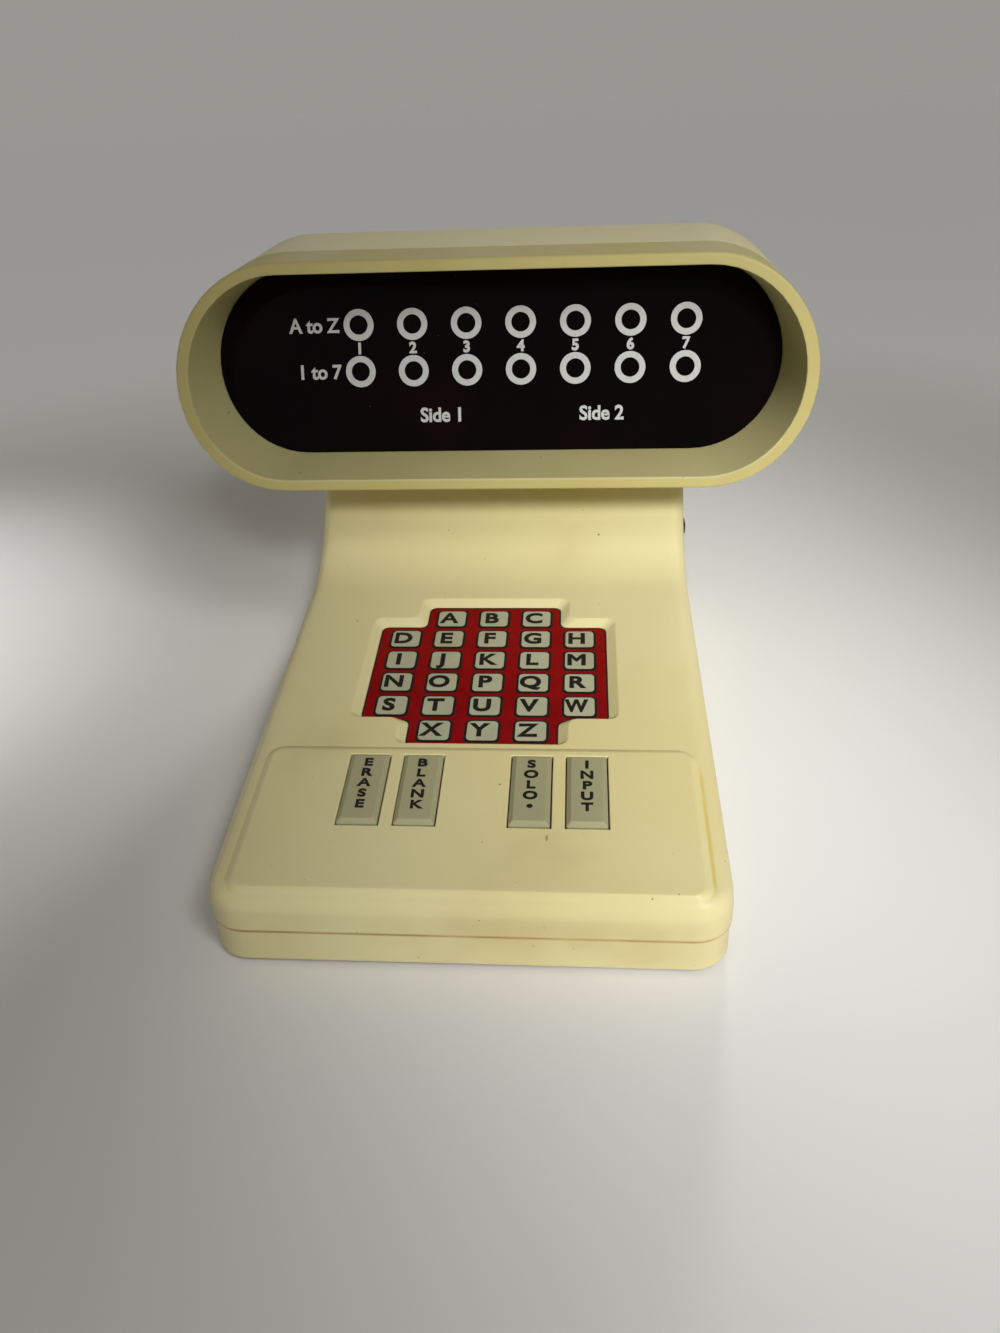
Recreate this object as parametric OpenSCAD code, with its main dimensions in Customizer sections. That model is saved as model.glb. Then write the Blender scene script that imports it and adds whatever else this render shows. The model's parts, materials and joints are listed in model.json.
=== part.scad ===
// Table-top electronic word game: a sloped keypad base, a neck rising behind it and a wide
// stadium-shaped display head with a deep hood. Front is -Y, up is +Z, in millimetres.
// The origin is on the table, under the middle of the object.

/* [Case] */
// Width of the neck and of the base's rear
body_w = 129; // [120:1:140]
// How much wider the base is at its front
body_flare = 2.8; // [0:0.1:6]
// Depth of the base, front wall to rear wall
body_d = 218; // [210:1:228]
// Height of the parting line between the two case halves
parting_z = 11; // [10:0.5:14]
// Width of the seams between mouldings
seam_gap = 0.4; // [0.2:0.1:0.5]
// Thickness of the case walls
wall = 2.5; // [2:0.1:3]
// Radius of the case's top side edges
edge_r = 5; // [4:0.5:7]
// Radius of the front corners, seen from above
front_r = 10; // [8:0.5:14]
// Clearance between parts that fit into each other
fit = 0.2; // [0.15:0.05:0.3]
// Height of the feet below the case
foot_gap = 1; // [0.8:0.1:2]
// Diameter of the rubber feet
foot_d = 12; // [9:0.5:14]

/* [Panel and neck] */
// Slope of the keypad panel, in degrees
panel_slope = 8.3; // [6:0.1:10]
// Height of the panel's front corner before it is rounded
lip_h = 21.5; // [20:0.05:26]
// Radius of the panel's front lip
lip_r = 5.2; // [4:0.1:7]
// Height of the neck, where the head sits on it
neck_h = 77.2; // [74:0.1:84]
// Depth of the neck's top, from its front edge to the foot of the rear wall
neck_d = 46.5; // [44:0.5:50]
// Lean of the neck's front face from upright, in degrees
neck_lean = 31; // [27:0.5:34]
// Radius of the bend between panel and neck
neck_r = 45; // [35:1:50]
// How far the rear wall leans in by the top of the neck
back_in = 11; // [8:0.5:12]
// Height of the raised bed round the buttons
bed_rise = 1; // [0.6:0.1:1.2]
// Width of the bed's soft edge
bed_edge = 3.3; // [2.5:0.1:3.5]

/* [Keypad] */
// Distance of the keypad's centre from the front wall
keypad_from_front = 89; // [88:0.5:91]
// Key pitch across the panel
key_pitch_x = 14; // [13:0.1:14.5]
// Key pitch along the panel
key_pitch_y = 10.76; // [10:0.05:11]
// Key width
key_w = 9.8; // [9:0.1:10.5]
// Key length along the panel
key_l = 8.95; // [8:0.05:9.2]
// Depth of the overlay's face below the panel
overlay_drop = 1.7; // [1.2:0.1:1.9]
// Thickness of each layer of the keypad
layer_t = 0.5; // [0.4:0.05:0.7]
// Width of the slope at the back and the sides of the keypad's recess
recess_w = 3; // [2:0.1:3.2]
// Width of the slope at the front of the keypad's recess
recess_front_w = 0.4; // [0.3:0.1:0.6]

/* [Buttons] */
// Button width
button_w = 10.8; // [9.5:0.1:11.5]
// Button length along the panel
button_l = 25.5; // [23:0.5:27]
// Distance of the inner and the outer buttons from the middle
button_pitch = 15; // [14.5:0.1:16]
// Distance of the buttons' middle in front of the keypad's centre
button_ahead = 52.5; // [52:0.5:53.5]
// Height of the button tops above their bed
button_rise = 1; // [0.5:0.1:1.5]
// Travel of the buttons
button_travel = 1.5; // [1:0.1:1.8]
// Gap round each button in its window
button_gap = 0.35; // [0.3:0.05:0.5]

/* [Head] */
// Width of the head
head_w = 201; // [194:1:212]
// Height of the head
head_h = 66.7; // [64:0.1:72]
// Lean of the rim and the window from upright, in degrees
rim_lean = 16.1; // [13:0.1:18]
// Distance of the rim's middle in front of the rear wall
rim_ahead = 80.5; // [78:0.5:82]
// Distance of the head's back in front of the rear wall
head_back_gap = 5; // [3:0.5:7]
// Radius of the head's rear edge
head_back_r = 6; // [4:0.5:8]
// Wall of the hood at the rim's ends
rim_side = 4.1; // [3.6:0.1:5]
// Wall of the hood at the rim's top and bottom
rim_top = 3.55; // [3:0.05:4.5]
// Depth of the hood, rim to window, square to the window
hood_depth = 21.6; // [20:0.1:23]
// Length of the bezel along the head's axis, rim to seam
bezel_len = 21; // [20:0.5:22]
// Taper of the hood's inside, each side, over its depth
hood_taper_x = 3.4; // [2.5:0.1:4]
// Taper of the hood's inside, top and bottom, over its depth
hood_taper_z = 1.15; // [0.8:0.05:1.6]
// Rounding of the rim's edges
rim_round = 0.9; // [0.5:0.1:1.2]
// Thickness of the window
lens_t = 2; // [1.5:0.1:2.5]

/* [Lamps] */
// Lamp pitch across the window
lamp_pitch_x = 17.86; // [16.5:0.1:18.2]
// Distance between the two rows of lamps
lamp_pitch_z = 14.77; // [14:0.1:15.5]
// Sideways place of the lamps' middle
lamp_x = 8.35; // [4:0.1:9]
// Height of the lamps' middle above the window's middle
lamp_rise = 4.3; // [3:0.1:5]
// Lamp diameter
lamp_d = 5; // [4:0.5:5]

/* [Power] */
// Height of the power switch
switch_z = 46; // [43:0.5:50]
// Distance of the power switch in front of the rear wall
switch_ahead = 47; // [44:0.5:50]
// Switch knob length, along its travel
knob_l = 6; // [5:0.5:7]
// Switch knob height
knob_h = 4.6; // [4:0.1:5.5]
// How far the knob stands out of the wall
knob_out = 1.8; // [1.2:0.1:2.2]
// Travel of the switch
switch_travel = 4; // [3:0.5:4.5]
// Battery length, width and height
battery = [45.5, 26.5, 17.5];
// Speaker diameter
speaker_d = 46; // [40:1:48]

/* [Hidden] */
$fn = 48;
eps = 0.01;
cream = [0.90, 0.85, 0.64];
shade = [0.72, 0.69, 0.50];
olive = [0.58, 0.57, 0.46];
red = [0.56, 0.02, 0.05];
black = [0.06, 0.06, 0.06];
steel = [0.70, 0.70, 0.68];
green = [0.10, 0.32, 0.20];
charcoal = [0.20, 0.20, 0.22];
amber = [0.75, 0.10, 0.08];

lip_steps = 8;
bend_steps = 14;
corner_steps = 8;
end_steps = 24;
round_steps = 4;

front_y = -body_d/2;
back_y = body_d/2;
floor_z = foot_gap + wall;
neck_top_y = back_y - neck_d;
neck_slope = 90 - neck_lean;
neck_back_y = back_y - back_in;
back_lean = atan(back_in/(neck_h - parting_z));
key_y = front_y + keypad_from_front;
head_z = neck_h + head_h/2;
rim_y = back_y - rim_ahead;
head_back_y = back_y - head_back_gap;

// Height of the panel's plane at a distance y
function panel_z(y) = lip_h + (y - front_y)*tan(panel_slope);

// Distance of the rear wall at a height z
function back_at(z) = back_y - (z - parting_z)*tan(back_lean);

// How much wider the case is at a distance y than at the rear wall
function flare(y) = 1 + body_flare/body_w*(back_y - y)/body_d;

// Outline points on the case's plan, spread by the flare
function flared(pts) = [for (p = pts) [p[0]*flare(p[1]), p[1]]];

// Corner where the panel's plane meets the neck's front face, and the bend's centre above it
corner_y = (neck_h - neck_top_y*tan(neck_slope) - panel_z(0))/(tan(panel_slope) - tan(neck_slope));
bend_t = neck_r*tan((neck_slope - panel_slope)/2);
bend_c = [
    corner_y - bend_t*cos(panel_slope) - neck_r*sin(panel_slope),
    panel_z(corner_y) - bend_t*sin(panel_slope) + neck_r*cos(panel_slope)
];

// Screws: shaft and head sizes, and the bosses that take them
screw_d = 2.6;
screw_head_d = 6;
screw_head_h = 2;
screw_play = 0.05;
screw_head_play = 0.6;
screw_spare = 0.5;
board_screw_l = 6;
boss_d = 8;
small_boss_d = 6;
post_pad = 3;
post_in = 12.5;
case_post_x = body_w/2 - post_in;
case_post_ys = [front_y + 15, back_y - 12];
case_post_z = foot_gap + 6;
case_screw_seat = foot_gap + 2.2;
case_screw_l = 12;
rear_post_h = 24;
rear_web_h = 16;
foot_in = 16.5;
foot_x = body_w/2 - foot_in;
foot_from = [32, 28];
foot_ys = [front_y + foot_from[0], back_y - foot_from[1]];
foot_sink = 1;
foot_round = 0.6;
tray_r = 1;
tray_draft = 0.3;

// Keypad: the overlay's cross-shaped outline round the keys, and the layers below it
key_rows = [3, 5, 5, 5, 5, 3];
wide_margin = [3.5, 1.8];
narrow_margin = [2.85, 1.9];
cross_wide = [2*key_pitch_x + key_w/2, 1.5*key_pitch_y + key_l/2] + wide_margin;
cross_narrow = [key_pitch_x + key_w/2, 2.5*key_pitch_y + key_l/2] + narrow_margin;
cross_r = 2.2;
key_r = 1.3;
key_emboss = 0.2;
stack_t = 3*layer_t;
pocket_w = overlay_drop + stack_t;
pad_t = 2;
tail_w = 15;
tail_t = 0.4;
tail_in = 3;
tail_v = cross_narrow[1] - tail_in;
backing_margin = [4, 3];

// Buttons: flange, plunger, rubber domes and the board below them
button_us = [-2*button_pitch, -button_pitch, button_pitch, 2*button_pitch];
button_bevel = [1.2, 1];
button_r = 0.5;
flange_t = 1;
flange_out = 0.9;
plunger = [6, 18, 1];
dome_h = button_travel + 0.7;
dome_d = 9;
dome_top_d = 5;
dome_rim = 0.6;
mat_margin = [5, 3];
mat_t = 0.8;
board_t = 1.6;
plunger_w = wall + flange_t + plunger[2];
mat_w = plunger_w + dome_h;
button_board_w = mat_w + mat_t;
board_margin = [23, 11];
button_board = [4*button_pitch + button_w, button_l] + board_margin;
button_boss_u = button_board[0]/2 - 4;
button_boss_v = 8;

// Bed round the buttons: its flat top's edges, and where the panel's front lip starts
bed_behind = 1.8;
bed_in = 7.8;
bed_front_in = 4.7;
bed_r = 2.5;
bed_sink = [1.2, 0.25];
bed_steps = 5;
bed_high = [body_w/2 - bed_in, bed_behind + button_l/2 - button_ahead];
bed_low = [-bed_high[0], (bed_front_in - keypad_from_front)/cos(panel_slope)];
lip_v = (lip_r*(1 - sin(panel_slope)) - keypad_from_front)/cos(panel_slope);

// Main board in the base
main_board_size = [96, 78];
main_board_y = key_y + 12.5;
main_board_z = floor_z + 7;
board_top_z = main_board_z + board_t;
main_boss_in = 6;
main_boss_x = main_board_size[0]/2 - main_boss_in;
main_boss_y = main_board_size[1]/2 - main_boss_in;
socket_size = [18, 5, 6];
header_size = [36, 6, 6];
header_in = 10;
header_y = main_board_y + main_board_size[1]/2 - header_in;
chip = [36, 13.5, 3.8];
chip_y = key_y - 14;
chip_rise = 0.8;
chip_legs = 14;
leg_pitch = 2.54;
leg = [0.8, 0.7, 2.6];
capacitor_d = 8;
capacitor_h = 11;
capacitor_xs = [-36, -26];
capacitor_y = key_y + 6;
resistor_d = 2.2;
resistor_l = 9;
resistor_x = 25;
resistor_y = key_y - 22;
resistor_pitch = 5;
resistor_n = 6;
tail_y = key_y + tail_v*cos(panel_slope);

// Head: hood depths along the head's axis, window plate and lamp board behind it
lens_dy = hood_depth/cos(rim_lean);
plate_dy = lens_dy + lens_t/cos(rim_lean);
plate_t = 2.5;
plate_back_dy = plate_dy + plate_t/cos(rim_lean);
spigot_dy = plate_back_dy + 3;
spigot_t = 2.2;
opening = [head_w - 2*rim_side, head_h - 2*rim_top];
lens = [opening[0] - 2*hood_taper_x, opening[1] - 2*hood_taper_z];
spigot = [head_w - 2*(wall + fit), head_h - 2*(wall + fit)];
lens_rise = hood_depth*tan(rim_lean);
plate_back = hood_depth + lens_t + plate_t;
lamp_gap = 6;
lamp_board_d = plate_back + lamp_gap;
lamp_z = lens_rise + lamp_rise;
lamp_h = lamp_board_d - hood_depth - lens_t - fit;
lamp_hole_d = lamp_d + 1;
lamp_flange = [0.7, 1];
spacer_margin = [12, 14];
lamp_spacer = [6*lamp_pitch_x, lamp_pitch_z] + spacer_margin;
lamp_boss_x = 2.5*lamp_pitch_x;
lamp_boss_z = lamp_spacer[1]/2 + small_boss_d/2 + 1;
lamp_board = [lamp_spacer[0] + 2, 2*lamp_boss_z + small_boss_d + 2];
head_post_in = 16.5;
head_post_x = head_w/2 - head_post_in;
head_post_z = 14;
bezel_post_d = 7;
head_post_l = 16;
head_post_y = rim_y + plate_back_dy + head_post_l;
head_screw_web = 4;
head_screw_l = 12;
cable_hole = [44, 24];
cable_hole_y = (neck_top_y + neck_back_y)/2;
neck_screw_x = body_w/2 - 19.5;
neck_screw_ys = [neck_top_y + 9, neck_back_y - 9];
neck_boss_h = 8;

// Battery bay under the neck, and the sliding door that closes it
slide_play = 0.3;
door_w = 60;
door_flare = 1.25;
door_l = 43;
door_y = back_y - door_l;
door_play = 0.25;
grip = [24, 1.2, 0.6];
grip_pitch = 3;
grip_n = 5;
grip_in = 10;
bay_wall = 2;
bay_h = 7.5;
bay_lip = 3;
lip_t = 1.2;
lip_z = floor_z + door_play + 0.1;
bay_top = floor_z + bay_h;
bay_x = door_w/2 + door_flare + door_play + fit;
snap_room = 8;
battery_pos = [-battery[0]/2 - snap_room/2, door_y + bay_lip + slide_play, floor_z + fit];
bay_rear_y = battery_pos[1] + battery[1] + slide_play;
terminal_d = 6;
terminal_l = 2.4;
terminal_gap = 12.7;
snap_t = 4.5;
snap_in = 0.5;
snap_x = battery_pos[0] + battery[0] + fit;
lead_d = 1.4;

// Leads: their points between the battery, the switch and the main board
lead_z = bay_top + 3;
lead_side = 4;
lead_apart = 3;
lead_tail = 4;
lead_bend = [9, 15];
board_lead = [10, 14, 6];
switch_lead = [12, 22, 10];

// Switch in the right side wall
switch_y = back_y - switch_ahead;
switch_size = [9, knob_l + switch_travel + 10, knob_h + 6];
wall_in_x = (body_w/2 - wall)*flare(switch_y + switch_size[1]/2);
knob_bevel = 0.5;
knob_flange = [2, knob_l + 3, knob_h + 3];

// Speaker behind slots in the rear wall
speaker_z = neck_h - wall - speaker_d/2 - 3;
speaker_h = 16;
speaker_rim = [4, 3];
magnet_d = 27;
magnet_h = 7;
cone_sink = 2.5;
ring_wall = 2;
ring_h = 4;
grille_pitch = 5;
grille_w = 2.4;
grille_n = 7;

// Shape helpers

// Points of an arc about c, from angle a0 to a1
function arc(c, r, a0, a1, n) = [for (i = [0:n]) let(a = a0 + (a1 - a0)*i/n) c + r*[cos(a), sin(a)]];

// How far a round of radius r falls away at a distance d past its start
function sag(r, d) = d <= 0 ? 0 : r - sqrt(max(0, r*r - d*d));

function unit(v) = v/norm(v);

// A polygon's points with each corner rounded to radius r
function rounded(pts, r, n = round_steps) = let(k = len(pts)) [
    for (i = [0:k - 1])
        let(
            a = unit(pts[i] - pts[(i + k - 1) % k]),
            b = unit(pts[(i + 1) % k] - pts[i]),
            turn = atan2(a[0]*b[1] - a[1]*b[0], a*b),
            side = turn > 0 ? 1 : -1,
            start = pts[i] - a*r*tan(abs(turn)/2),
            c = start + side*r*[-a[1], a[0]],
            from = atan2(start[1] - c[1], start[0] - c[0]))
        each arc(c, r, from, from + turn, n)
];

// Stadium outline, w wide and h tall
function stadium(w, h) = concat(
    arc([(w - h)/2, 0], h/2, -90, 90, end_steps),
    arc([-(w - h)/2, 0], h/2, 90, 270, end_steps));

// Rectangle, clockwise, from two opposite corners
function rectangle(low, high) = [[low[0], high[1]], high, [high[0], low[1]], low];

// Closed solid through rings of points, each ring clockwise seen from the last one's side.
// The end faces fan out from the rings' first points, or from a pair of hubs inside them.
module loft(rings, hubs = []) {
    n = len(rings[0]);
    last = (len(rings) - 1)*n;
    hub = last + n;
    sides = [
        for (k = [0:len(rings) - 2], i = [0:n - 1])
            let(a = k*n + i, b = k*n + (i + 1) % n)
            each [[a, b, b + n], [a, b + n, a + n]]
    ];
    ends = len(hubs) == 0
        ? [[for (i = [0:n - 1]) (n - i) % n], [for (i = [0:n - 1]) last + i]]
        : [for (i = [0:n - 1]) let(j = (i + 1) % n) each [[hub, j, i], [hub + 1, last + i, last + j]]];
    polyhedron(concat([for (r = rings) each r], hubs), concat(sides, ends));
}

function at_z(pts, z) = [for (p = pts) [p[0], p[1], z]];

// Coordinates on the panel: x across, y along it towards the neck, z out of it
module on_panel() {
    translate([0, key_y, panel_z(key_y)]) rotate([panel_slope, 0, 0]) children();
}

// Coordinates of the rim: x across, y into the head, z up along the rim's plane
module on_rim() {
    translate([0, rim_y, head_z]) rotate([-rim_lean, 0, 0]) children();
}

// Places on both sides of the middle, at each y
module both_sides(x, ys) {
    for (s = [-1, 1], y = ys) translate([s*x, y, 0]) children();
}

// Screw along +z with its seat at z = 0 and its head below
module screw(l) {
    translate([0, 0, -screw_head_h]) {
        cylinder(d = screw_d, h = screw_head_h + l);
        cylinder(d = screw_head_d, h = screw_head_h);
    }
}

module pilot(l) {
    cylinder(d = screw_d + 2*screw_play, h = l);
}

// Case

// Side outline of the case, pulled in by t on top, f at the front and b at the back.
// It starts at the rear foot, which sees the whole outline.
function side_outline(t, f, b, r, low, high) = let(
    y0 = front_y + f,
    lip_c = [y0 + r, panel_z(y0 + r) - (t + r)/cos(panel_slope)],
    bend = [
        for (i = [0:bend_steps])
            let(a = panel_slope + (neck_slope - panel_slope)*i/bend_steps)
            bend_c + (neck_r + t)*[sin(a), -cos(a)]
    ],
    end = bend[bend_steps])
    concat(
        [[back_at(low) - b, low], [y0, low]],
        arc(lip_c, r, 180, 90 + panel_slope, lip_steps),
        bend,
        [[end[0] + (high - end[1])/tan(neck_slope), high], [back_at(high) - b, high]]);

// Base and neck as one rounded form, drawn in by inset on every side
module case_form(inset, low, high) {
    half = body_w/2 - inset;
    rf = front_r - inset;
    re = edge_r - inset;
    xs = [for (i = [0:corner_steps]) half - rf + rf*sin(90*i/corner_steps)];
    loft([
        for (x = concat([for (i = [corner_steps:-1:0]) -xs[i]], xs))
            let(
                t = inset + sag(re, abs(x) - half + re),
                f = inset + sag(rf, abs(x) - half + rf))
            [for (p = side_outline(t, f, t, lip_r - inset, low, high)) [x*flare(p[0]), p[0], p[1]]]
    ]);
}

// The case's outline from above, drawn in by inset
function plan(inset) = let(
    x = body_w/2 - inset, y0 = front_y + inset, y1 = back_y - inset,
    rf = front_r - inset, rb = edge_r - min(inset, edge_r - 1))
    flared(concat(
        arc([-x + rb, y1 - rb], rb, 180, 90, corner_steps),
        arc([x - rb, y1 - rb], rb, 90, 0, corner_steps),
        arc([x - rf, y0 + rf], rf, 0, -90, corner_steps),
        arc([-x + rf, y0 + rf], rf, -90, -180, corner_steps)));

// Outside of the lower case: drawn in and rounded towards the table
module tray_form() {
    edge = [
        for (a = [0:30:90])
            at_z(plan(tray_draft + tray_r*(1 - sin(a))), foot_gap + tray_r*(1 - cos(a)))
    ];
    loft(concat(edge, [at_z(plan(seam_gap), parting_z)]));
}

// Sliding door's section across the battery bay, grown by g
module door_section(g) {
    polygon([
        [-door_w/2 - g, foot_gap - g], [door_w/2 + g, foot_gap - g],
        [door_w/2 + door_flare + g, floor_z + g], [-door_w/2 - door_flare - g, floor_z + g]
    ]);
}

module door_slot(g, y) {
    translate([0, back_y + 1, 0]) rotate([90, 0, 0]) linear_extrude(back_y + 1 - y) door_section(g);
}

module lower_case() color(cream) difference() {
    union() {
        difference() {
            tray_form();
            loft([at_z(plan(wall + tray_draft), floor_z), at_z(plan(wall + seam_gap), parting_z + 1)]);
        }
        both_sides(case_post_x, case_post_ys)
            translate([0, 0, floor_z - eps])
                cylinder(d = boss_d + post_pad, h = case_post_z - floor_z + eps);
        main_bosses(floor_z - eps) cylinder(d = boss_d, h = main_board_z - floor_z + eps);
        battery_bay();
    }
    both_sides(case_post_x, case_post_ys) {
        cylinder(d = screw_head_d + screw_head_play, h = case_screw_seat);
        pilot(parting_z);
    }
    main_bosses(main_board_z - board_screw_l) pilot(board_screw_l + 1);
    both_sides(foot_x, foot_ys)
        translate([0, 0, foot_gap - 1]) cylinder(d = foot_d + 2*fit, h = 1 + foot_sink);
    door_slot(door_play, door_y - door_play);
}

// Places of the main board's screws, at a height z
module main_bosses(z) {
    translate([0, main_board_y, z]) both_sides(main_boss_x, [-main_boss_y, main_boss_y]) children();
}

// Walls round the battery, and lips that keep the door down
module battery_bay() {
    inner_x = door_w/2 - bay_lip;
    length = bay_rear_y + bay_wall - door_y;
    for (s = [-1, 1]) {
        translate([s*(bay_x + bay_wall/2) - bay_wall/2, door_y - bay_wall, floor_z - eps])
            cube([bay_wall, length + bay_wall, bay_top - floor_z]);
        translate([s > 0 ? inner_x : -bay_x - eps, door_y - eps, lip_z])
            cube([bay_x - inner_x + eps, length, lip_t]);
    }
    translate([-bay_x, door_y - bay_wall, floor_z - eps]) cube([2*bay_x, bay_wall, bay_top - floor_z]);
    translate([-inner_x - eps, door_y - eps, lip_z]) cube([2*inner_x + 2*eps, bay_lip, lip_t]);
    translate([-bay_x, bay_rear_y, lip_z]) cube([2*bay_x, bay_wall, bay_top - lip_z]);
}

// The keypad's cross-shaped outline, grown by g on x and y, clockwise, with its corners rounded
function cross_outline(g, r) = let(w = cross_wide + g, n = cross_narrow + g)
    rounded([
        [-n[0], n[1]], n, [n[0], w[1]], w, [w[0], -w[1]], [n[0], -w[1]],
        [n[0], -n[1]], -n, [-n[0], -w[1]], -w, [-w[0], w[1]], [-n[0], w[1]]
    ], r);

// Keypad recess: sloped sides down to the overlay, steep in front, then a pocket for the layers
module keypad_recess() {
    above = 1;
    rise = (overlay_drop + above)/overlay_drop;
    back = recess_w*rise;
    front = recess_front_w*rise;
    floor = cross_outline([fit, fit], cross_r);
    mouth = [for (p = cross_outline([back, (back + front)/2], cross_r + 1)) p + [0, (back - front)/2]];
    loft([at_z(floor, -overlay_drop), at_z(mouth, above)], [[0, 0, -overlay_drop], [0, 0, above]]);
    translate([0, 0, -pocket_w]) linear_extrude(stack_t + eps) polygon(floor);
    translate([-tail_w/2 - 1, tail_v - 1, -pocket_w - pad_t - 1]) cube([tail_w + 2, 2, pad_t + 2]);
}

// How far the case's rounded edges fall below the panel's plane at a point on it
function edge_fall(p) = let(x = abs(p[0])/flare(key_y + p[1]) - body_w/2)
    sag(edge_r, x + edge_r) + sag(lip_r, lip_v + sag(front_r, x + front_r) - p[1]);

// Outline of the bed, grown by g, following the case's flare
function bed_outline(g) = [
    for (p = rounded(rectangle(bed_low - [g, g], bed_high + [g, g]), bed_r + g))
        [p[0]*flare(key_y + p[1]), p[1]]
];

// Raised bed round the buttons: the case's own surface lifted, with a soft edge on every side
module button_bed() {
    foot = [for (p = bed_outline(bed_edge)) [p[0], p[1], -edge_fall(p) - bed_sink[0]]];
    edge = [
        for (k = [0:bed_steps])
            let(lift = (1 - cos(180*k/bed_steps))/2)
            [
                for (p = bed_outline(bed_edge*(1 - k/bed_steps)))
                    [p[0], p[1], (bed_rise + bed_sink[1])*lift - bed_sink[1] - edge_fall(p)]
            ]
    ];
    loft(concat([foot], edge));
}

module button_place(u) {
    translate([u, -button_ahead, 0]) children();
}

module button_bosses() {
    for (s = [-1, 1], v = [-button_boss_v, button_boss_v])
        translate([s*button_boss_u, v - button_ahead, -button_board_w]) children();
}

module switch_place() {
    translate([wall_in_x, switch_y, switch_z]) children();
}

module upper_case() color(cream) difference() {
    union() {
        difference() {
            case_form(0, parting_z + seam_gap, neck_h);
            case_form(wall, parting_z - 1, neck_h - wall);
        }
        on_panel() {
            keypad_backing();
            button_bed();
        }
        intersection() {
            case_form(wall/2, foot_gap, neck_h);
            inner_posts();
        }
        speaker_ring();
    }
    on_panel() {
        keypad_recess();
        for (u = button_us) button_place(u) button_window();
        button_bosses() translate([0, 0, -eps]) pilot(board_screw_l);
    }
    both_sides(case_post_x, case_post_ys) pilot(case_screw_seat + case_screw_l + screw_spare);
    both_sides(neck_screw_x, neck_screw_ys) translate([0, 0, neck_h - 2*wall]) pilot(3*wall);
    translate([-cable_hole[0]/2, cable_hole_y - cable_hole[1]/2, neck_h - 2*wall])
        cube([cable_hole[0], cable_hole[1], 3*wall]);
    switch_place() translate([-eps, -knob_l/2 - switch_travel/2 - slide_play, -knob_h/2 - slide_play])
        cube([2*wall, knob_l + switch_travel + 2*slide_play, knob_h + 2*slide_play]);
    speaker_grille();
}

// Thickened plate behind the keypad
module keypad_backing() {
    half = [cross_wide[0], cross_narrow[1]] + backing_margin;
    translate([-half[0], -half[1], -pocket_w - pad_t])
        cube([2*half[0], 2*half[1], pocket_w + pad_t - wall + 0.2]);
}

module button_window() {
    size = [button_w + 2*button_gap, button_l + 2*button_gap];
    translate([-size[0]/2, -size[1]/2, -2*wall]) cube([size[0], size[1], 3*wall]);
}

// Posts inside the upper case for the case screws and the button board
module inner_posts() {
    both_sides(case_post_x, [case_post_ys[0]])
        translate([0, 0, case_post_z]) cylinder(d = boss_d, h = panel_z(case_post_ys[0]));
    both_sides(case_post_x, [case_post_ys[1]])
        translate([0, 0, case_post_z]) cylinder(d = boss_d, h = rear_post_h);
    for (s = [-1, 1]) translate([s*case_post_x, case_post_ys[1] - wall/2, parting_z + 2])
        translate([s > 0 ? 0 : -case_post_x, 0, 0]) cube([case_post_x, wall, rear_web_h]);
    on_panel() button_bosses() cylinder(d = small_boss_d, h = button_board_w);
}

module speaker_place() {
    translate([0, back_at(speaker_z) - wall, speaker_z]) rotate([90 + back_lean, 0, 0]) children();
}

module speaker_ring() {
    speaker_place() translate([0, 0, -eps]) difference() {
        cylinder(d = speaker_d + 2*fit + 2*ring_wall, h = ring_h);
        translate([0, 0, -1]) cylinder(d = speaker_d + 2*fit, h = ring_h + 2);
    }
}

module speaker_grille() {
    reach = speaker_d/2 - speaker_rim[0];
    speaker_place() for (i = [0:grille_n - 1]) {
        x = (i - (grille_n - 1)/2)*grille_pitch;
        h = sqrt(reach*reach - x*x) - grille_w/2;
        translate([x, 0, -2*wall]) {
            translate([-grille_w/2, -h, 0]) cube([grille_w, 2*h, 3*wall]);
            for (s = [-1, 1]) translate([0, s*h, 0]) cylinder(d = grille_w, h = 3*wall, $fn = 24);
        }
    }
}

module battery_door() color(cream) difference() {
    intersection() {
        door_slot(0, door_y);
        tray_form();
    }
    for (i = [0:grip_n - 1])
        translate([-grip[0]/2, back_y - grip_in - grip_pitch*i, foot_gap - 1]) cube(grip + [0, 0, 1]);
}

module rubber_feet() color(black) both_sides(foot_x, foot_ys) rotate_extrude()
    polygon(concat(
        [[0, 0]],
        arc([foot_d/2 - foot_round, foot_round], foot_round, -90, 0, round_steps),
        [[foot_d/2, foot_gap + foot_sink], [0, foot_gap + foot_sink]]));

module case_screws() color(steel)
    both_sides(case_post_x, case_post_ys) translate([0, 0, case_screw_seat]) screw(case_screw_l);

// Head

// Ring of the head's outline, w by h, dy behind the leaning rim
function rim_ring(w, h, dy) = [
    for (p = stadium(w, h)) [p[0], rim_y + dy + p[1]*tan(rim_lean), head_z + p[1]]
];

// Stadium-shaped block along the head's axis between two leaning ends
module rim_prism(size, from_dy, to_dy) {
    loft([for (dy = [from_dy, to_dy]) rim_ring(size[0], size[1], dy)]);
}

// Ring of the head's outline on an upright plane
function flat_ring(w, h, y) = [for (p = stadium(w, h)) [p[0], y, head_z + p[1]]];

module bezel_outside() {
    rim = [
        for (a = [0, 30, 60, 90])
            let(d = 2*rim_round*(1 - sin(a)))
            rim_ring(head_w - d, head_h - d, rim_round*(1 - cos(a)))
    ];
    loft(concat(rim, [rim_ring(head_w, head_h, bezel_len)]));
}

// Inside of the hood, from the rim to the back of the window
module hood_inside() {
    e = rim_round*0.7;
    mouth = [
        for (a = [0, 45, 90])
            let(d = 2*e*(1 - sin(a)))
            rim_ring(opening[0] + d, opening[1] + d, e*(1 - cos(a)))
    ];
    loft(concat(
        [rim_ring(opening[0] + 2*e, opening[1] + 2*e, -1)], mouth,
        [rim_ring(lens[0], lens[1], lens_dy), rim_ring(lens[0], lens[1], plate_dy)]));
}

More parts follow.
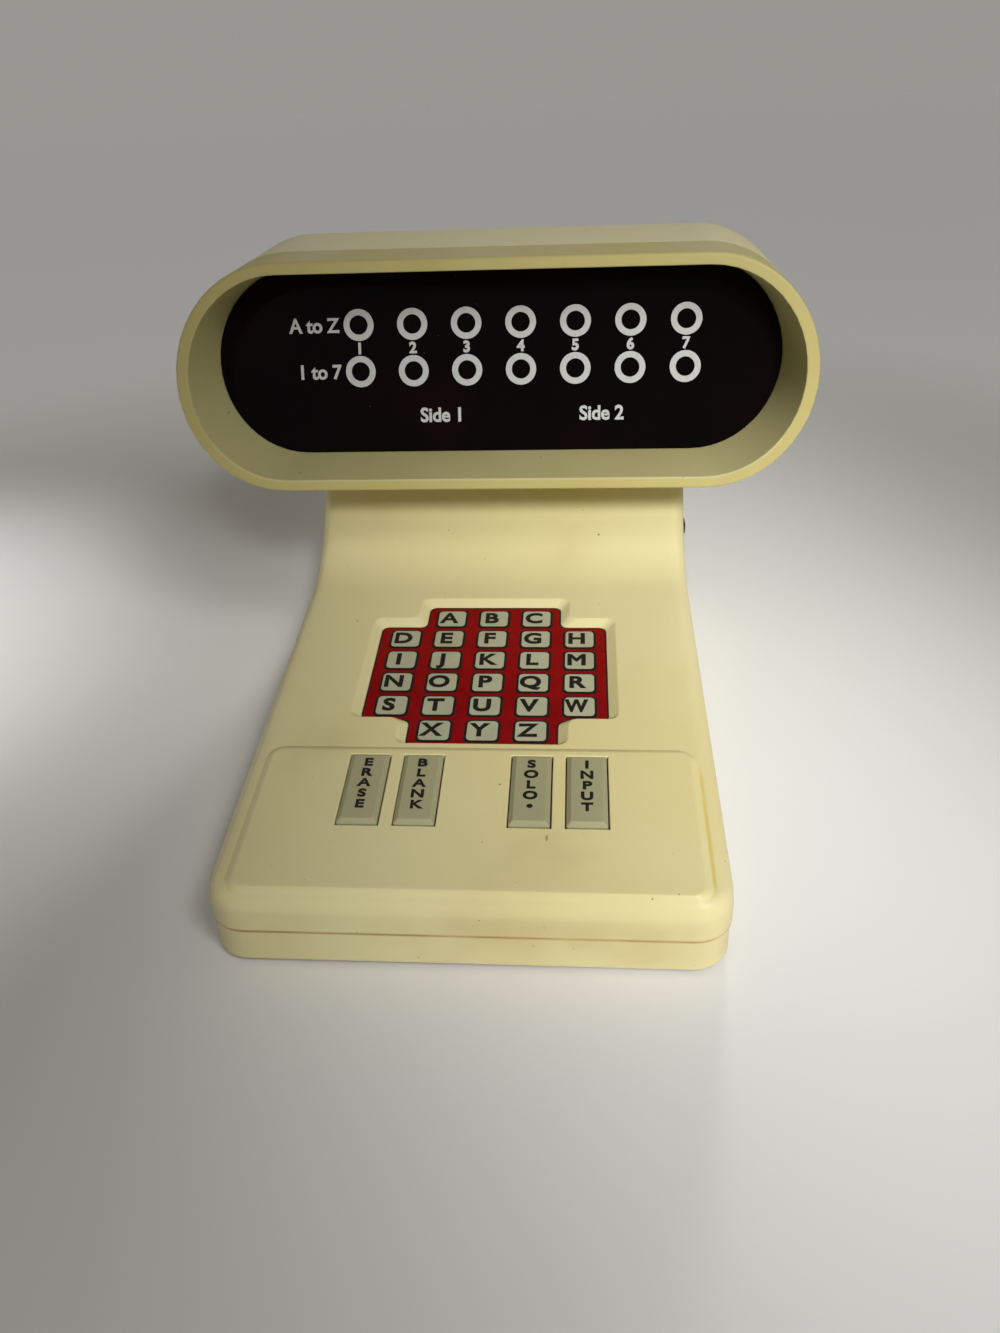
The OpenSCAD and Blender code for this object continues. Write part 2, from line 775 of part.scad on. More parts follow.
module lamp_places() {
    for (i = [-3:3]) translate([lamp_x + i*lamp_pitch_x, 0, lamp_z]) children();
}

module lamp_bosses() {
    for (s = [-1, 1], t = [-1, 1])
        translate([lamp_x + s*lamp_boss_x, 0, lamp_z + t*lamp_boss_z]) children();
}

// Places of the screws that hold the bezel to the shell, with z along the head's axis
module head_posts() {
    for (s = [-1, 1], t = [-1, 1])
        translate([s*head_post_x, 0, head_z + t*head_post_z]) rotate([-90, 0, 0]) children();
}

module lamp_holes(from, to, d) {
    for (t = [-1, 1]) lamp_places() translate([0, from, t*lamp_pitch_z/2])
        rotate([-90, 0, 0]) cylinder(d = d, h = to - from, $fn = 32);
}

module head_bezel() color(shade) difference() {
    union() {
        difference() {
            union() {
                bezel_outside();
                rim_prism(spigot, bezel_len - 1, spigot_dy);
            }
            hood_inside();
            rim_prism(spigot - 2*[spigot_t, spigot_t], plate_back_dy, spigot_dy + 1);
        }
        on_rim() lamp_bosses() translate([0, plate_back - eps, 0])
            rotate([-90, 0, 0]) cylinder(d = small_boss_d, h = lamp_gap + eps);
        difference() {
            head_posts() translate([0, 0, rim_y]) cylinder(d = bezel_post_d, h = head_post_y - rim_y);
            rim_prism([head_w, head_h], -head_h, plate_back_dy - plate_t/5);
        }
    }
    on_rim() {
        lamp_holes(hood_depth, plate_back + 1, lamp_hole_d);
        lamp_bosses() translate([0, plate_back + 0.5, 0]) rotate([-90, 0, 0]) pilot(lamp_gap);
    }
    head_posts() translate([0, 0, head_post_y - head_screw_l]) pilot(head_screw_l + 1);
}

module display_lens() color(black)
    rim_prism(lens - 2*[fit, fit], lens_dy, plate_dy);

module head_shell() color(cream) difference() {
    union() {
        difference() {
            shell_form(0, bezel_len + seam_gap);
            shell_form(wall, bezel_len - 2);
        }
        head_posts() translate([0, 0, head_post_y])
            cylinder(d = boss_d, h = head_back_y - wall/2 - head_post_y);
        both_sides(neck_screw_x, neck_screw_ys)
            translate([0, 0, neck_h + wall - eps]) cylinder(d = boss_d, h = neck_boss_h);
    }
    head_posts() {
        translate([0, 0, head_post_y - 1]) pilot(2*head_screw_web);
        translate([0, 0, head_post_y + head_screw_web])
            cylinder(d = screw_head_d + screw_head_play, h = body_d);
    }
    both_sides(neck_screw_x, neck_screw_ys) translate([0, 0, neck_h - 1]) pilot(neck_boss_h + wall);
    translate([-cable_hole[0]/2, cable_hole_y - cable_hole[1]/2, neck_h - wall])
        cube([cable_hole[0], cable_hole[1], 3*wall]);
}

// Rear bucket of the head, drawn in by inset, from the leaning seam to its rounded back
module shell_form(inset, seam_dy) {
    r = head_back_r - inset;
    y = head_back_y - head_back_r;
    w = head_w - 2*inset;
    h = head_h - 2*inset;
    back = [
        for (a = [0:15:90])
            let(d = 2*r*(1 - cos(a)))
            flat_ring(w - d, h - d, y + r*sin(a))
    ];
    loft(concat([rim_ring(w, h, seam_dy)], back));
}

module head_screws() color(steel)
    head_posts() translate([0, 0, head_post_y + head_screw_web]) rotate([180, 0, 0]) screw(head_screw_l);

module neck_screws() color(steel)
    both_sides(neck_screw_x, neck_screw_ys) translate([0, 0, neck_h - wall]) screw(wall + neck_boss_h);

// Lamps behind the window

module led_spacer() color(black) on_rim() difference() {
    translate([lamp_x - lamp_spacer[0]/2, plate_back, lamp_z - lamp_spacer[1]/2])
        cube([lamp_spacer[0], lamp_gap, lamp_spacer[1]]);
    lamp_holes(plate_back - 1, plate_back + lamp_gap + 1, lamp_hole_d);
}

module led_board() color(green) on_rim() difference() {
    translate([lamp_x - lamp_board[0]/2, lamp_board_d, lamp_z - lamp_board[1]/2])
        cube([lamp_board[0], board_t, lamp_board[1]]);
    lamp_bosses() translate([0, lamp_board_d - 1, 0]) rotate([-90, 0, 0]) pilot(board_t + 2);
}

// One row of round lamps standing on their board
module lamp_row(t) {
    on_rim() lamp_places() translate([0, lamp_board_d, t*lamp_pitch_z/2]) rotate([90, 0, 0]) {
        cylinder(d = lamp_d + lamp_flange[0], h = lamp_flange[1], $fn = 32);
        cylinder(d = lamp_d, h = lamp_h - lamp_d/2, $fn = 32);
        translate([0, 0, lamp_h - lamp_d/2]) sphere(d = lamp_d, $fn = 32);
    }
}

module upper_leds() color(amber) lamp_row(1);

module lower_leds() color(amber) lamp_row(-1);

module display_board_screws() color(steel) on_rim()
    lamp_bosses() translate([0, lamp_board_d + board_t, 0])
        rotate([90, 0, 0]) screw(board_t + lamp_gap - screw_spare);

// Keypad

module keypad_layer(k) {
    on_panel() translate([0, 0, -overlay_drop - (k + 1)*layer_t]) linear_extrude(layer_t) difference() {
        polygon(cross_outline([0, 0], cross_r));
        children();
    }
}

module key_places() {
    n = len(key_rows);
    for (j = [0:n - 1], i = [0:key_rows[j] - 1])
        translate([(i - (key_rows[j] - 1)/2)*key_pitch_x, ((n - 1)/2 - j)*key_pitch_y]) children();
}

module keypad_overlay() color(red) {
    keypad_layer(0);
    on_panel() translate([0, 0, -overlay_drop - eps]) linear_extrude(key_emboss)
        key_places() polygon(rounded(rectangle([-key_w/2, -key_l/2], [key_w/2, key_l/2]), key_r, 3));
}

module keypad_spacer() color("ivory") keypad_layer(1) key_places() circle(d = key_l - 2, $fn = 20);

module keypad_circuit() color("lightgray") keypad_layer(2);

module keypad_tail() color("lightgray") difference() {
    translate([-tail_w/2, tail_y - tail_t/2, board_top_z + 1])
        cube([tail_w, tail_t, panel_z(tail_y) - board_top_z]);
    on_panel() translate([-tail_w, -body_d/2, -pocket_w]) cube([2*tail_w, body_d, neck_h]);
}

module tail_socket() color(black) difference() {
    translate([-socket_size[0]/2, tail_y - socket_size[1]/2, board_top_z]) cube(socket_size);
    translate([-tail_w/2 - fit, tail_y - tail_t/2 - fit, board_top_z + 1 - fit])
        cube([tail_w + 2*fit, tail_t + 2*fit, socket_size[2]]);
}

// Buttons

// One long button: bevelled top, shank, flange under the panel and plunger
module button(u) {
    side = [button_w/2, button_l/2];
    top = side - button_bevel[0]*[1, 1];
    top_z = bed_rise + button_rise;
    shank = rounded(rectangle(-side, side), button_r, 3);
    flange = side + [flange_out, flange_out];
    color(olive) on_panel() button_place(u) {
        loft([
            at_z(shank, -wall), at_z(shank, top_z - button_bevel[1]),
            at_z(rounded(rectangle(-top, top), button_r, 3), top_z)
        ]);
        translate([-flange[0], -flange[1], -wall - flange_t]) cube([2*flange[0], 2*flange[1], flange_t]);
        translate([-plunger[0]/2, -plunger[1]/2, -plunger_w]) cube(plunger + [0, 0, eps]);
    }
}

module clear_button() button(button_us[0]);

module space_button() button(button_us[1]);

module auto_button() button(button_us[2]);

module enter_button() button(button_us[3]);

module button_mat() color("dimgray") on_panel() {
    size = [2*button_us[3] + button_w, button_l] + mat_margin;
    translate([-size[0]/2, -button_ahead - size[1]/2, -button_board_w]) cube([size[0], size[1], mat_t]);
    for (u = button_us) button_place(u) translate([0, 0, -mat_w - eps]) rotate_extrude()
        polygon([
            [0, 0], [dome_d/2, 0], [dome_top_d/2, dome_h - dome_rim], [dome_top_d/2, dome_h + eps],
            [0, dome_h + eps]
        ]);
}

module button_board() color(green) on_panel() difference() {
    translate([-button_board[0]/2, -button_ahead - button_board[1]/2, -button_board_w - board_t])
        cube([button_board[0], button_board[1], board_t]);
    button_bosses() translate([0, 0, -board_t - 1]) pilot(board_t + 2);
}

module button_board_screws() color(steel)
    on_panel() button_bosses() translate([0, 0, -board_t]) screw(board_t + board_screw_l - screw_spare);

// Electronics in the base

module main_board() color(green) difference() {
    translate([-main_board_size[0]/2, main_board_y - main_board_size[1]/2, main_board_z])
        cube([main_board_size[0], main_board_size[1], board_t]);
    main_bosses(main_board_z - 1) pilot(board_t + 2);
}

module main_board_screws() color(steel)
    main_bosses(board_top_z) rotate([180, 0, 0]) screw(board_t + board_screw_l - screw_spare);

// Chip with two rows of bent legs standing on the board
module controller_chip() color(black) {
    translate([-chip[0]/2, chip_y - chip[1]/2, board_top_z + chip_rise]) cube(chip);
    for (s = [-1, 1], i = [0:chip_legs - 1])
        translate([(i - (chip_legs - 1)/2)*leg_pitch, chip_y + s*chip[1]/2, board_top_z])
            translate([-leg[0]/2, -leg[1]/2, 0]) cube(leg);
}

// Capacitors, resistors and the ribbon's header, each standing on the board
module board_parts() color("sienna") translate([0, 0, board_top_z]) {
    for (x = capacitor_xs) translate([x, capacitor_y, 0]) cylinder(d = capacitor_d, h = capacitor_h);
    for (i = [0:resistor_n - 1])
        translate([resistor_x, resistor_y + resistor_pitch*i, resistor_d/2])
            rotate([0, 90, 0]) cylinder(d = resistor_d, h = resistor_l);
    translate([-header_size[0]/2, header_y - header_size[1]/2, 0]) cube(header_size);
}

// Flat cable from the main board up the neck to the lamp board: y and z along its route
ribbon_w = 32;
ribbon_t = 1;
ribbon_low = board_top_z + header_size[2];
ribbon_up_y = cable_hole_y - 2;
ribbon_top = neck_h + 19;
ribbon_end = rim_y + (lamp_board_d + board_t + (ribbon_top - head_z)*sin(rim_lean))/cos(rim_lean) + 2*fit;
ribbon_route = [
    [header_y, ribbon_low], [header_y, ribbon_low + 4], [header_y + 8, ribbon_low + 12],
    [ribbon_up_y - 10, ribbon_low + 12], [ribbon_up_y, ribbon_low + 28],
    [ribbon_up_y, ribbon_top - 4], [ribbon_up_y - 4, ribbon_top], [ribbon_end, ribbon_top]
];

// A route shifted sideways by d, with mitred corners
function beside(path, d) = let(n = len(path)) [
    for (i = [0:n - 1])
        let(
            a = unit(path[min(i + 1, n - 1)] - path[min(i, n - 2)]),
            b = unit(path[max(i, 1)] - path[max(i - 1, 0)]),
            m = unit(a + b))
        path[i] + d/(m*a)*[-m[1], m[0]]
];

module display_ribbon() color("gray") rotate([90, 0, 90]) translate([0, 0, -ribbon_w/2])
    linear_extrude(ribbon_w) polygon(concat(
        beside(ribbon_route, ribbon_t/2),
        [for (i = [len(ribbon_route) - 1:-1:0]) beside(ribbon_route, -ribbon_t/2)[i]]));

// Speaker facing the rear wall's slots
module speaker() color(charcoal) speaker_place() rotate_extrude() polygon([
    [0, cone_sink], [speaker_d/2 - speaker_rim[0], 0], [speaker_d/2, 0], [speaker_d/2, speaker_rim[1]],
    [speaker_d/2 - speaker_rim[0], speaker_rim[1]], [magnet_d/2 - 1, speaker_h - magnet_h],
    [magnet_d/2, speaker_h - magnet_h], [magnet_d/2, speaker_h], [0, speaker_h]
]);

// Power

module switch_body() color(black) switch_place() difference() {
    translate([-switch_size[0], -switch_size[1]/2, -switch_size[2]/2]) cube(switch_size);
    cavity = knob_flange + [2*slide_play, switch_travel + 2*slide_play, 2*slide_play];
    translate([-cavity[0], -cavity[1]/2, -cavity[2]/2]) cube(cavity + [1, 0, 0]);
}

// Knob at the middle of its travel: an inner flange and a pip through the wall
module switch_knob() color(black) switch_place() {
    translate([-knob_flange[0] - slide_play, -knob_flange[1]/2, -knob_flange[2]/2]) cube(knob_flange);
    out = wall + knob_out;
    side = [knob_l/2, knob_h/2];
    end = side - [knob_bevel, knob_bevel];
    shank = rounded(rectangle(-side, side), knob_bevel, 3);
    rotate([0, 90, 0]) rotate([0, 0, 90]) loft([
        at_z(shank, -slide_play - eps), at_z(shank, out - knob_bevel),
        at_z(rounded(rectangle(-end, end), knob_bevel, 3), out)
    ]);
}

module terminal_places() {
    for (s = [-1, 1])
        translate([0, battery_pos[1] + battery[1]/2 + s*terminal_gap/2, battery_pos[2] + battery[2]/2])
            rotate([0, 90, 0]) children();
}

module battery_block() color(charcoal) {
    translate(battery_pos) cube(battery);
    translate([battery_pos[0] + battery[0] - eps, 0, 0]) terminal_places()
        cylinder(d = terminal_d, h = terminal_l);
}

module battery_snap() color(black) difference() {
    translate([snap_x, battery_pos[1] + snap_in, battery_pos[2] + snap_in])
        cube([snap_t, battery[1] - 2*snap_in, battery[2] - 2*snap_in]);
    translate([snap_x - fit - eps, 0, 0])
        terminal_places() cylinder(d = terminal_d + 2*fit, h = terminal_l + 2*fit);
}

// Wire of round section through points
module wire(pts) {
    n = len(pts);
    sides = 8;
    loft([
        for (i = [0:n - 1])
            let(
                a = unit(pts[min(i + 1, n - 1)] - pts[min(i, n - 2)]),
                b = unit(pts[max(i, 1)] - pts[max(i - 1, 0)]),
                along = unit(a + b),
                across = unit(cross(along, [0.3, 0.8, 0.2])),
                other = cross(along, across))
            [for (k = [0:sides - 1]) pts[i] + lead_d/2*(across*cos(360*k/sides) - other*sin(360*k/sides))]
    ]);
}

// Leads from the battery to the switch and from both to the main board
module battery_leads() color(red) {
    snap_end = [snap_x + snap_t, battery_pos[1] + battery[1]/2, lead_z];
    under = [wall_in_x - switch_size[0]/2, switch_y, switch_z - switch_size[2]/2];
    board = [main_boss_x - board_lead[0], header_y, board_top_z];
    side_x = bay_x + bay_wall + lead_side;
    low_z = lead_z + board_lead[2];
    high_z = lead_z + switch_lead[2];
    wire([
        snap_end - [0, lead_side, 0], [side_x, snap_end[1] - lead_side, lead_z],
        [side_x, snap_end[1] - lead_bend[0], lead_z + lead_bend[1]],
        under - [0, lead_side, lead_tail], under - [0, lead_side, 0]
    ]);
    wire([
        snap_end + [0, lead_side, 0], [side_x + lead_apart, snap_end[1] + lead_side, lead_z],
        [side_x + lead_apart, door_y - board_lead[0], low_z],
        [board[0], board[1] + board_lead[1], low_z], [board[0], board[1], low_z], board
    ]);
    wire([
        under + [0, lead_side, 0], under + [0, lead_side, -lead_apart - lead_tail],
        [side_x + switch_lead[0], door_y - switch_lead[1], high_z],
        [board[0] - board_lead[2], board[1], high_z], board - [board_lead[2], 0, 0]
    ]);
}

lower_case();
upper_case();
head_shell();
head_bezel();
display_lens();
led_spacer();
led_board();
upper_leds();
lower_leds();
keypad_overlay();
keypad_spacer();
keypad_circuit();
keypad_tail();
tail_socket();
clear_button();
space_button();
auto_button();
enter_button();
button_mat();
button_board();
main_board();
controller_chip();
board_parts();
speaker();
switch_body();
switch_knob();
battery_block();
battery_snap();
battery_leads();
battery_door();
display_ribbon();
case_screws();
neck_screws();
head_screws();
main_board_screws();
button_board_screws();
display_board_screws();
rubber_feet();
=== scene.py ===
"""Looks of a table-top electronic word game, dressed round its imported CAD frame."""

import json
import math

import bmesh
import bpy
from mathutils import Matrix, Vector


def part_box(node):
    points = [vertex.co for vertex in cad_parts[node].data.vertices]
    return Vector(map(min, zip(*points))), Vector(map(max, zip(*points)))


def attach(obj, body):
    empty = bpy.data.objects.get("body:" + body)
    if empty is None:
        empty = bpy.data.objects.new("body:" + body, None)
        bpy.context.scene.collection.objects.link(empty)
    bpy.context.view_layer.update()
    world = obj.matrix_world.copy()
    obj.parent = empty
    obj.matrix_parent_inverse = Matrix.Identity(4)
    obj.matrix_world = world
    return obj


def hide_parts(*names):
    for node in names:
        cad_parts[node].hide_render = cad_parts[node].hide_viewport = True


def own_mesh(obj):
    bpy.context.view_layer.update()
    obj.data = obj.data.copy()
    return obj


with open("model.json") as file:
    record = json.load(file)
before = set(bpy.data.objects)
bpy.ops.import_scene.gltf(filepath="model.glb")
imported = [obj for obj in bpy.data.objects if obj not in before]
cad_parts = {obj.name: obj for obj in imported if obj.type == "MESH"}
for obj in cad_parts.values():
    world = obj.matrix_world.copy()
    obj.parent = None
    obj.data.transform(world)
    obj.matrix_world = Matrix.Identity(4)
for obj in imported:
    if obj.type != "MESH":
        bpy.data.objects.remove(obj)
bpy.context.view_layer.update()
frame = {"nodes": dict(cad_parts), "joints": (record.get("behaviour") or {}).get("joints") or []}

MM = 0.001
ACROSS = Vector((1, 0, 0))
FRONT = Vector((0, -1, 0))
BACK = Vector((0, 1, 0))
DOWN = Vector((0, 0, -1))

# Camera: place and nearest view in metres, turns in degrees, picture in pixels, sensor in millimetres
CAMERA_PLACE = (0.02674, -0.28268, 0.19446)
CAMERA_YAW = 5.04
CAMERA_PITCH = 31.19
CAMERA_ROLL = 2.32
PICTURE_HEIGHT = 1333
FOCAL_PIXELS = 1000
SENSOR_HEIGHT = 36
NEAREST = 0.01

# Faces: cosines above which one looks towards, along or exactly along a way, and below which away
TOWARDS = 0.9
ALONG = 0.99
EXACTLY = 0.9999
AWAY = -0.1
BACKWARDS = -0.5

# Mouldings: welding into flat faces, softened edges with their steps, and angles of sharp edges
WELD = 0.002 * MM
FLATNESS = 0.3
SOFT_EDGE = 0.2 * MM
SOFT_STEPS = 2
RECESS_EDGE = 0.3 * MM
BUTTON_EDGE = 0.3 * MM
ROUND_STEPS = 3
CREASE = 32
PANEL_CREASE = 17
FLAT_WEIGHT = 80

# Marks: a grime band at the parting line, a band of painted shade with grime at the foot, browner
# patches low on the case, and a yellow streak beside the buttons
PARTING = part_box("lower_case")[1].z
SEAM_GRIME = (-0.3 * MM, 0.8 * MM)
FOOT_SHADE_AND_GRIME = (-1 * MM, 1.3 * MM)
LOW_BAND = (2 * MM, 17 * MM)
STREAK_X = (60.2 * MM, 61.1 * MM)
STREAK_Y = (-102 * MM, -63 * MM)
STREAK_Z = (20 * MM, 40 * MM)

# Colours: of each material, some darkened by painted shade, with the tone that it yellows, deepens or
# is marked to
CREAM = (0.70, 0.635, 0.345)
CREAM_YELLOWED = (0.66, 0.575, 0.275)
# The bezel and its inside: darker and yellower than the cream, with part of the darkness painted
# shade.
HOOD = (0.485, 0.42, 0.165)
HOOD_YELLOWED = (0.44, 0.37, 0.12)
LINING = (0.51, 0.465, 0.225)
LINING_YELLOWED = (0.47, 0.42, 0.18)
BUTTON = (0.375, 0.36, 0.205)
BUTTON_YELLOWED = (0.325, 0.31, 0.175)
KEYPAD_RED = (0.235, 0.002, 0.004)
KEYPAD_RED_DEEP = (0.185, 0.0015, 0.003)
KEY_PALE = (0.42, 0.415, 0.28)
KEY_PALE_DEEP = (0.37, 0.365, 0.24)
WINDOW_BLACK = (0.0015, 0.001, 0.001)
WINDOW_RED = (0.006, 0.001, 0.0015)
WINDOW_DUST = (0.10, 0.095, 0.10)
PRINT_BLACK = (0.012, 0.012, 0.010)
PRINT_PALE = (0.52, 0.53, 0.52)
BOARD_GREEN = (0.02, 0.10, 0.045)
BOARD_TRACK = (0.06, 0.22, 0.09)
BOARD_DEEP = (0.012, 0.06, 0.03)
FILM_MILKY = (0.55, 0.55, 0.52)
FILM_TRACK = (0.35, 0.35, 0.36)
LAMP_RED = (0.30, 0.008, 0.006)
LAMP_RED_DEEP = (0.16, 0.004, 0.004)
LEAD_RED = (0.32, 0.015, 0.012)
LEAD_RED_DEEP = (0.2, 0.01, 0.01)
SPEAKER_STEEL = (0.22, 0.22, 0.23)
BATTERY_STEEL = (0.16, 0.17, 0.20)
SCREW_STEEL = (0.58, 0.57, 0.54)
FLOOR_PALE = (0.82, 0.82, 0.805)
FLOOR_CLOUD = (0.77, 0.77, 0.755)

# Dirt and tones: how much dust brightens black parts, and the colours of specks, nicks, grime, painted
# shade with grime at the foot, a browner band and a yellow streak on plastic
DUSTY = (2, 1.9, 1.8)
SPECK = (0.12, 0.08, 0.035)
FINE_SPECK = (0.18, 0.125, 0.06)
NICK = (0.30, 0.25, 0.13)
LOW_BAND_COLOR = (0.52, 0.39, 0.16)
SEAM_GRIME_COLOR = (0.40, 0.24, 0.07)
FOOT_SHADE_AND_GRIME_COLOR = (0.34, 0.215, 0.10)
STREAK_COLOR = (0.60, 0.47, 0.12)

# Patterns: values that hold most of a cloudy one, a speck's solid middle, and how specks fade in
CLOUD_SPAN = (0.3, 0.7)
SPECK_MIDDLE = 0.4
SPECK_CHANCE = 0.02

# Keypad: dark line inside and outside each key's edge, its pale face, a step between rows, its letter
KEY_LINE = 0.45 * MM
SHEET_LINE = 0.36 * MM
KEY_CORNER = 1.3 * MM
KEY_CORNER_STEPS = 6
KEY_ROW = 4 * MM
KEY_LETTER = 5.6 * MM
KEY_LETTER_STRETCH = 1.1
KEY_LETTER_WIDEST = 6.9 * MM
KEY_LETTER_SHIFT = (-0.9 * MM, 0.35 * MM)

# Lettering: steps in a curve, and how far strokes are thickened for a capital one unit tall
CURVE_STEPS = 4
BOLD = 0.06
HEAVY = 0.075
MEDIUM = 0.04

# Print: thickness of the ink, and the sizes of rings, numbers and words on the window
INK = 0.06 * MM
RING_OUTSIDE = 5.02 * MM
RING_INSIDE = 3.05 * MM
RING_SIDES = 48
NUMBER_HEIGHT = 3.7 * MM
LABEL_HEIGHT = 4.7 * MM
LABEL_STRETCH = 0.95
LABEL_GAP = 6.6 * MM
SIDE_LABEL_OUT = 26.6 * MM
SIDE_LABEL_DROP = 14.3 * MM

# Legends: one capital under another down each button
LEGENDS = {
    "clear_button": "ERASE",
    "space_button": "BLANK",
    "auto_button": "SOLO\u2022",
    "enter_button": "INPUT",
}
LEGEND_HEIGHT = 3.05 * MM
LEGEND_STRETCH = 1.25
LEGEND_PITCH = 3.85 * MM
LEGEND_RISE = 1.2 * MM

# Screws: cross recess in each head
CROSS_LENGTH = 3.4 * MM
CROSS_WIDTH = 0.8 * MM
CROSS_DEPTH = 1.1 * MM

# Light: lamps with places and sizes in metres, strengths in watts and cones in degrees
HIGH_PLACE = (0.325, -0.48, 0.65)
HIGH_TARGET = (0, 0, 0.03)
HIGH_WATTS = 1.6
HIGH_SIZE = 0.2
WINDOW_PLACE = (0.30, -0.87, 0.60)
WINDOW_TARGET = (0.095, -0.02, 0.04)
WINDOW_WATTS = 50
WINDOW_CONE = 21
WINDOW_RADIUS = 0.09
SIDE_PLACE = (-0.36, -0.10, 0.9)
SIDE_TARGET = (-0.31, 0.03, 0)
SIDE_WATTS = 26
SIDE_CONE = 26
SIDE_RADIUS = 0.05
REAR_PLACE = (0.20, 0.95, 0.32)
REAR_TARGET = (0, 0.08, 0.095)
REAR_WATTS = 24
REAR_CONE = 22
REAR_RADIUS = 0.1

# Room: its light low down and overhead, what shows behind the object, and the floor with its glow
ROOM_COLOR = (1, 0.90, 0.76, 1)
ROOM_LOW = 0.245
ROOM_HIGH = 0.10
ROOM_RISE = 0.7
BACKGROUND_COLOR = (1, 0.97, 0.915, 1)
BACKGROUND = 0.317
FLOOR_GLOW = 0.17
GLOW_REACH = (0.15, 0.6)
FLOOR_RADIUS = 6
FLOOR_SIDES = 96


# Selecting and shaping

def pick(*pieces):
    """Select some pieces alone and make the first one active."""
    bpy.ops.object.select_all(action="DESELECT")
    for piece in pieces:
        piece.select_set(True)
    bpy.context.view_layer.objects.active = pieces[0]


def edit(piece):
    """Go into edit mode on a piece, with nothing selected, and return its edit mesh."""
    pick(piece)
    bpy.ops.object.mode_set(mode="EDIT")
    bpy.ops.mesh.select_mode(type="FACE")
    bpy.ops.mesh.select_all(action="DESELECT")
    return bmesh.from_edit_mesh(piece.data)


def edit_all(piece):
    """Go into edit mode on a piece, with all of it selected."""
    edit(piece)
    bpy.ops.mesh.select_all(action="SELECT")


def select_faces(piece, mesh, wanted):
    """Select the faces of an edit mesh that a test wants, and no others."""
    bpy.ops.mesh.select_all(action="DESELECT")
    for face in mesh.faces:
        face.select_set(wanted(face))
    bmesh.update_edit_mesh(piece.data)


def paint(piece, place):
    """Give the selected faces the material at a place among the piece's materials."""
    piece.active_material_index = place
    bpy.ops.object.material_slot_assign()


def leave_edit():
    """Go back to object mode."""
    bpy.ops.object.mode_set(mode="OBJECT")


def started(add, **settings):
    """Start a piece with an operator that adds one, and with nothing else selected."""
    bpy.ops.object.select_all(action="DESELECT")
    add(**settings)
    return bpy.context.object


def apply_modifier(piece, kind, **settings):
    """Add a modifier with its settings and apply it."""
    pick(piece)
    bpy.ops.object.modifier_add(type=kind)
    modifier = piece.modifiers[-1]
    for key, value in settings.items():
        setattr(modifier, key, value)
    bpy.ops.object.modifier_apply(modifier=modifier.name)


def soften(piece, width, segments=SOFT_STEPS):
    """Round a piece's sharp edges a little."""
    apply_modifier(
        piece, "BEVEL", width=width, segments=segments, limit_method="ANGLE",
        angle_limit=math.radians(CREASE))


def smooth(piece, degrees=CREASE):
    """Shade a piece smooth up to creases of an angle, with flat faces kept flat."""
    pick(piece)
    bpy.ops.object.shade_smooth_by_angle(angle=math.radians(degrees))
    apply_modifier(piece, "WEIGHTED_NORMAL", keep_sharp=True, weight=FLAT_WEIGHT)


def round_rims(piece, out, width):
    """Round the edges where flat faces that look one way drop into a recess or an opening."""
    mesh = edit(piece)
    bpy.ops.mesh.select_mode(type="EDGE")

    def is_rim(line):
        if not line.is_manifold or not line.is_convex:
            return False
        flat = [face for face in line.link_faces if face.normal.dot(out) > EXACTLY]
        return len(flat) == 1 and line.calc_face_angle() > math.radians(PANEL_CREASE)

    for line in mesh.edges:
        line.select_set(is_rim(line))
    bmesh.update_edit_mesh(piece.data)
    bpy.ops.mesh.bevel(offset=width, segments=ROUND_STEPS, affect="EDGES", clamp_overlap=True)
    leave_edit()


def merged_copy(node, name):
    """A copy of a CAD solid with its triangles welded into whole faces."""
    piece = bpy.data.objects.new(name, frame["nodes"][node].data.copy())
    bpy.context.scene.collection.objects.link(piece)
    piece.data.materials.clear()
    pick(piece)
    bpy.ops.mesh.customdata_custom_splitnormals_clear()
    edit_all(piece)
    bpy.ops.mesh.remove_doubles(threshold=WELD)
    bpy.ops.mesh.dissolve_limited(angle_limit=math.radians(FLATNESS))
    leave_edit()
    return piece


def finished(piece, *finishes):
    """Give a piece its materials, in the order of its material slots."""
    piece.data.materials.clear()
    for finish in finishes:
        piece.data.materials.append(finish)
    return piece


def settle(piece, body, slot=None, *nodes):
    """Fix a finished piece to its body, and hide the CAD solids that it stands for."""
    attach(piece, body)
    if nodes:
        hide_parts(*nodes)
    return piece


def copied_to(piece, places):
    """Copies of a piece at some placements, each with a mesh of its own, in place of the piece."""
    copies = []
    for place in places:
        copy = bpy.data.objects.new(piece.name, piece.data.copy())
        bpy.context.scene.collection.objects.link(copy)
        copy.data.transform(place)
        copies.append(copy)
    bpy.data.objects.remove(piece)
    return copies


def joined(pieces, name):
    """Join pieces into one under a name."""
    pick(*pieces)
    bpy.ops.object.join()
    piece = bpy.context.object
    piece.name = name
    return piece


def facing(point, out):
    """Placement on a face: x runs across the object, z points out of the face."""
    turn = Matrix((ACROSS, out.cross(ACROSS), out)).transposed().to_4x4()
    return Matrix.Translation(point) @ turn


def widest_face(piece, towards):
    """The largest face of a piece that looks towards a way."""
    faces = [face for face in piece.data.polygons if face.normal.dot(towards) > TOWARDS]
    return max(faces, key=lambda face: face.area)


# Materials

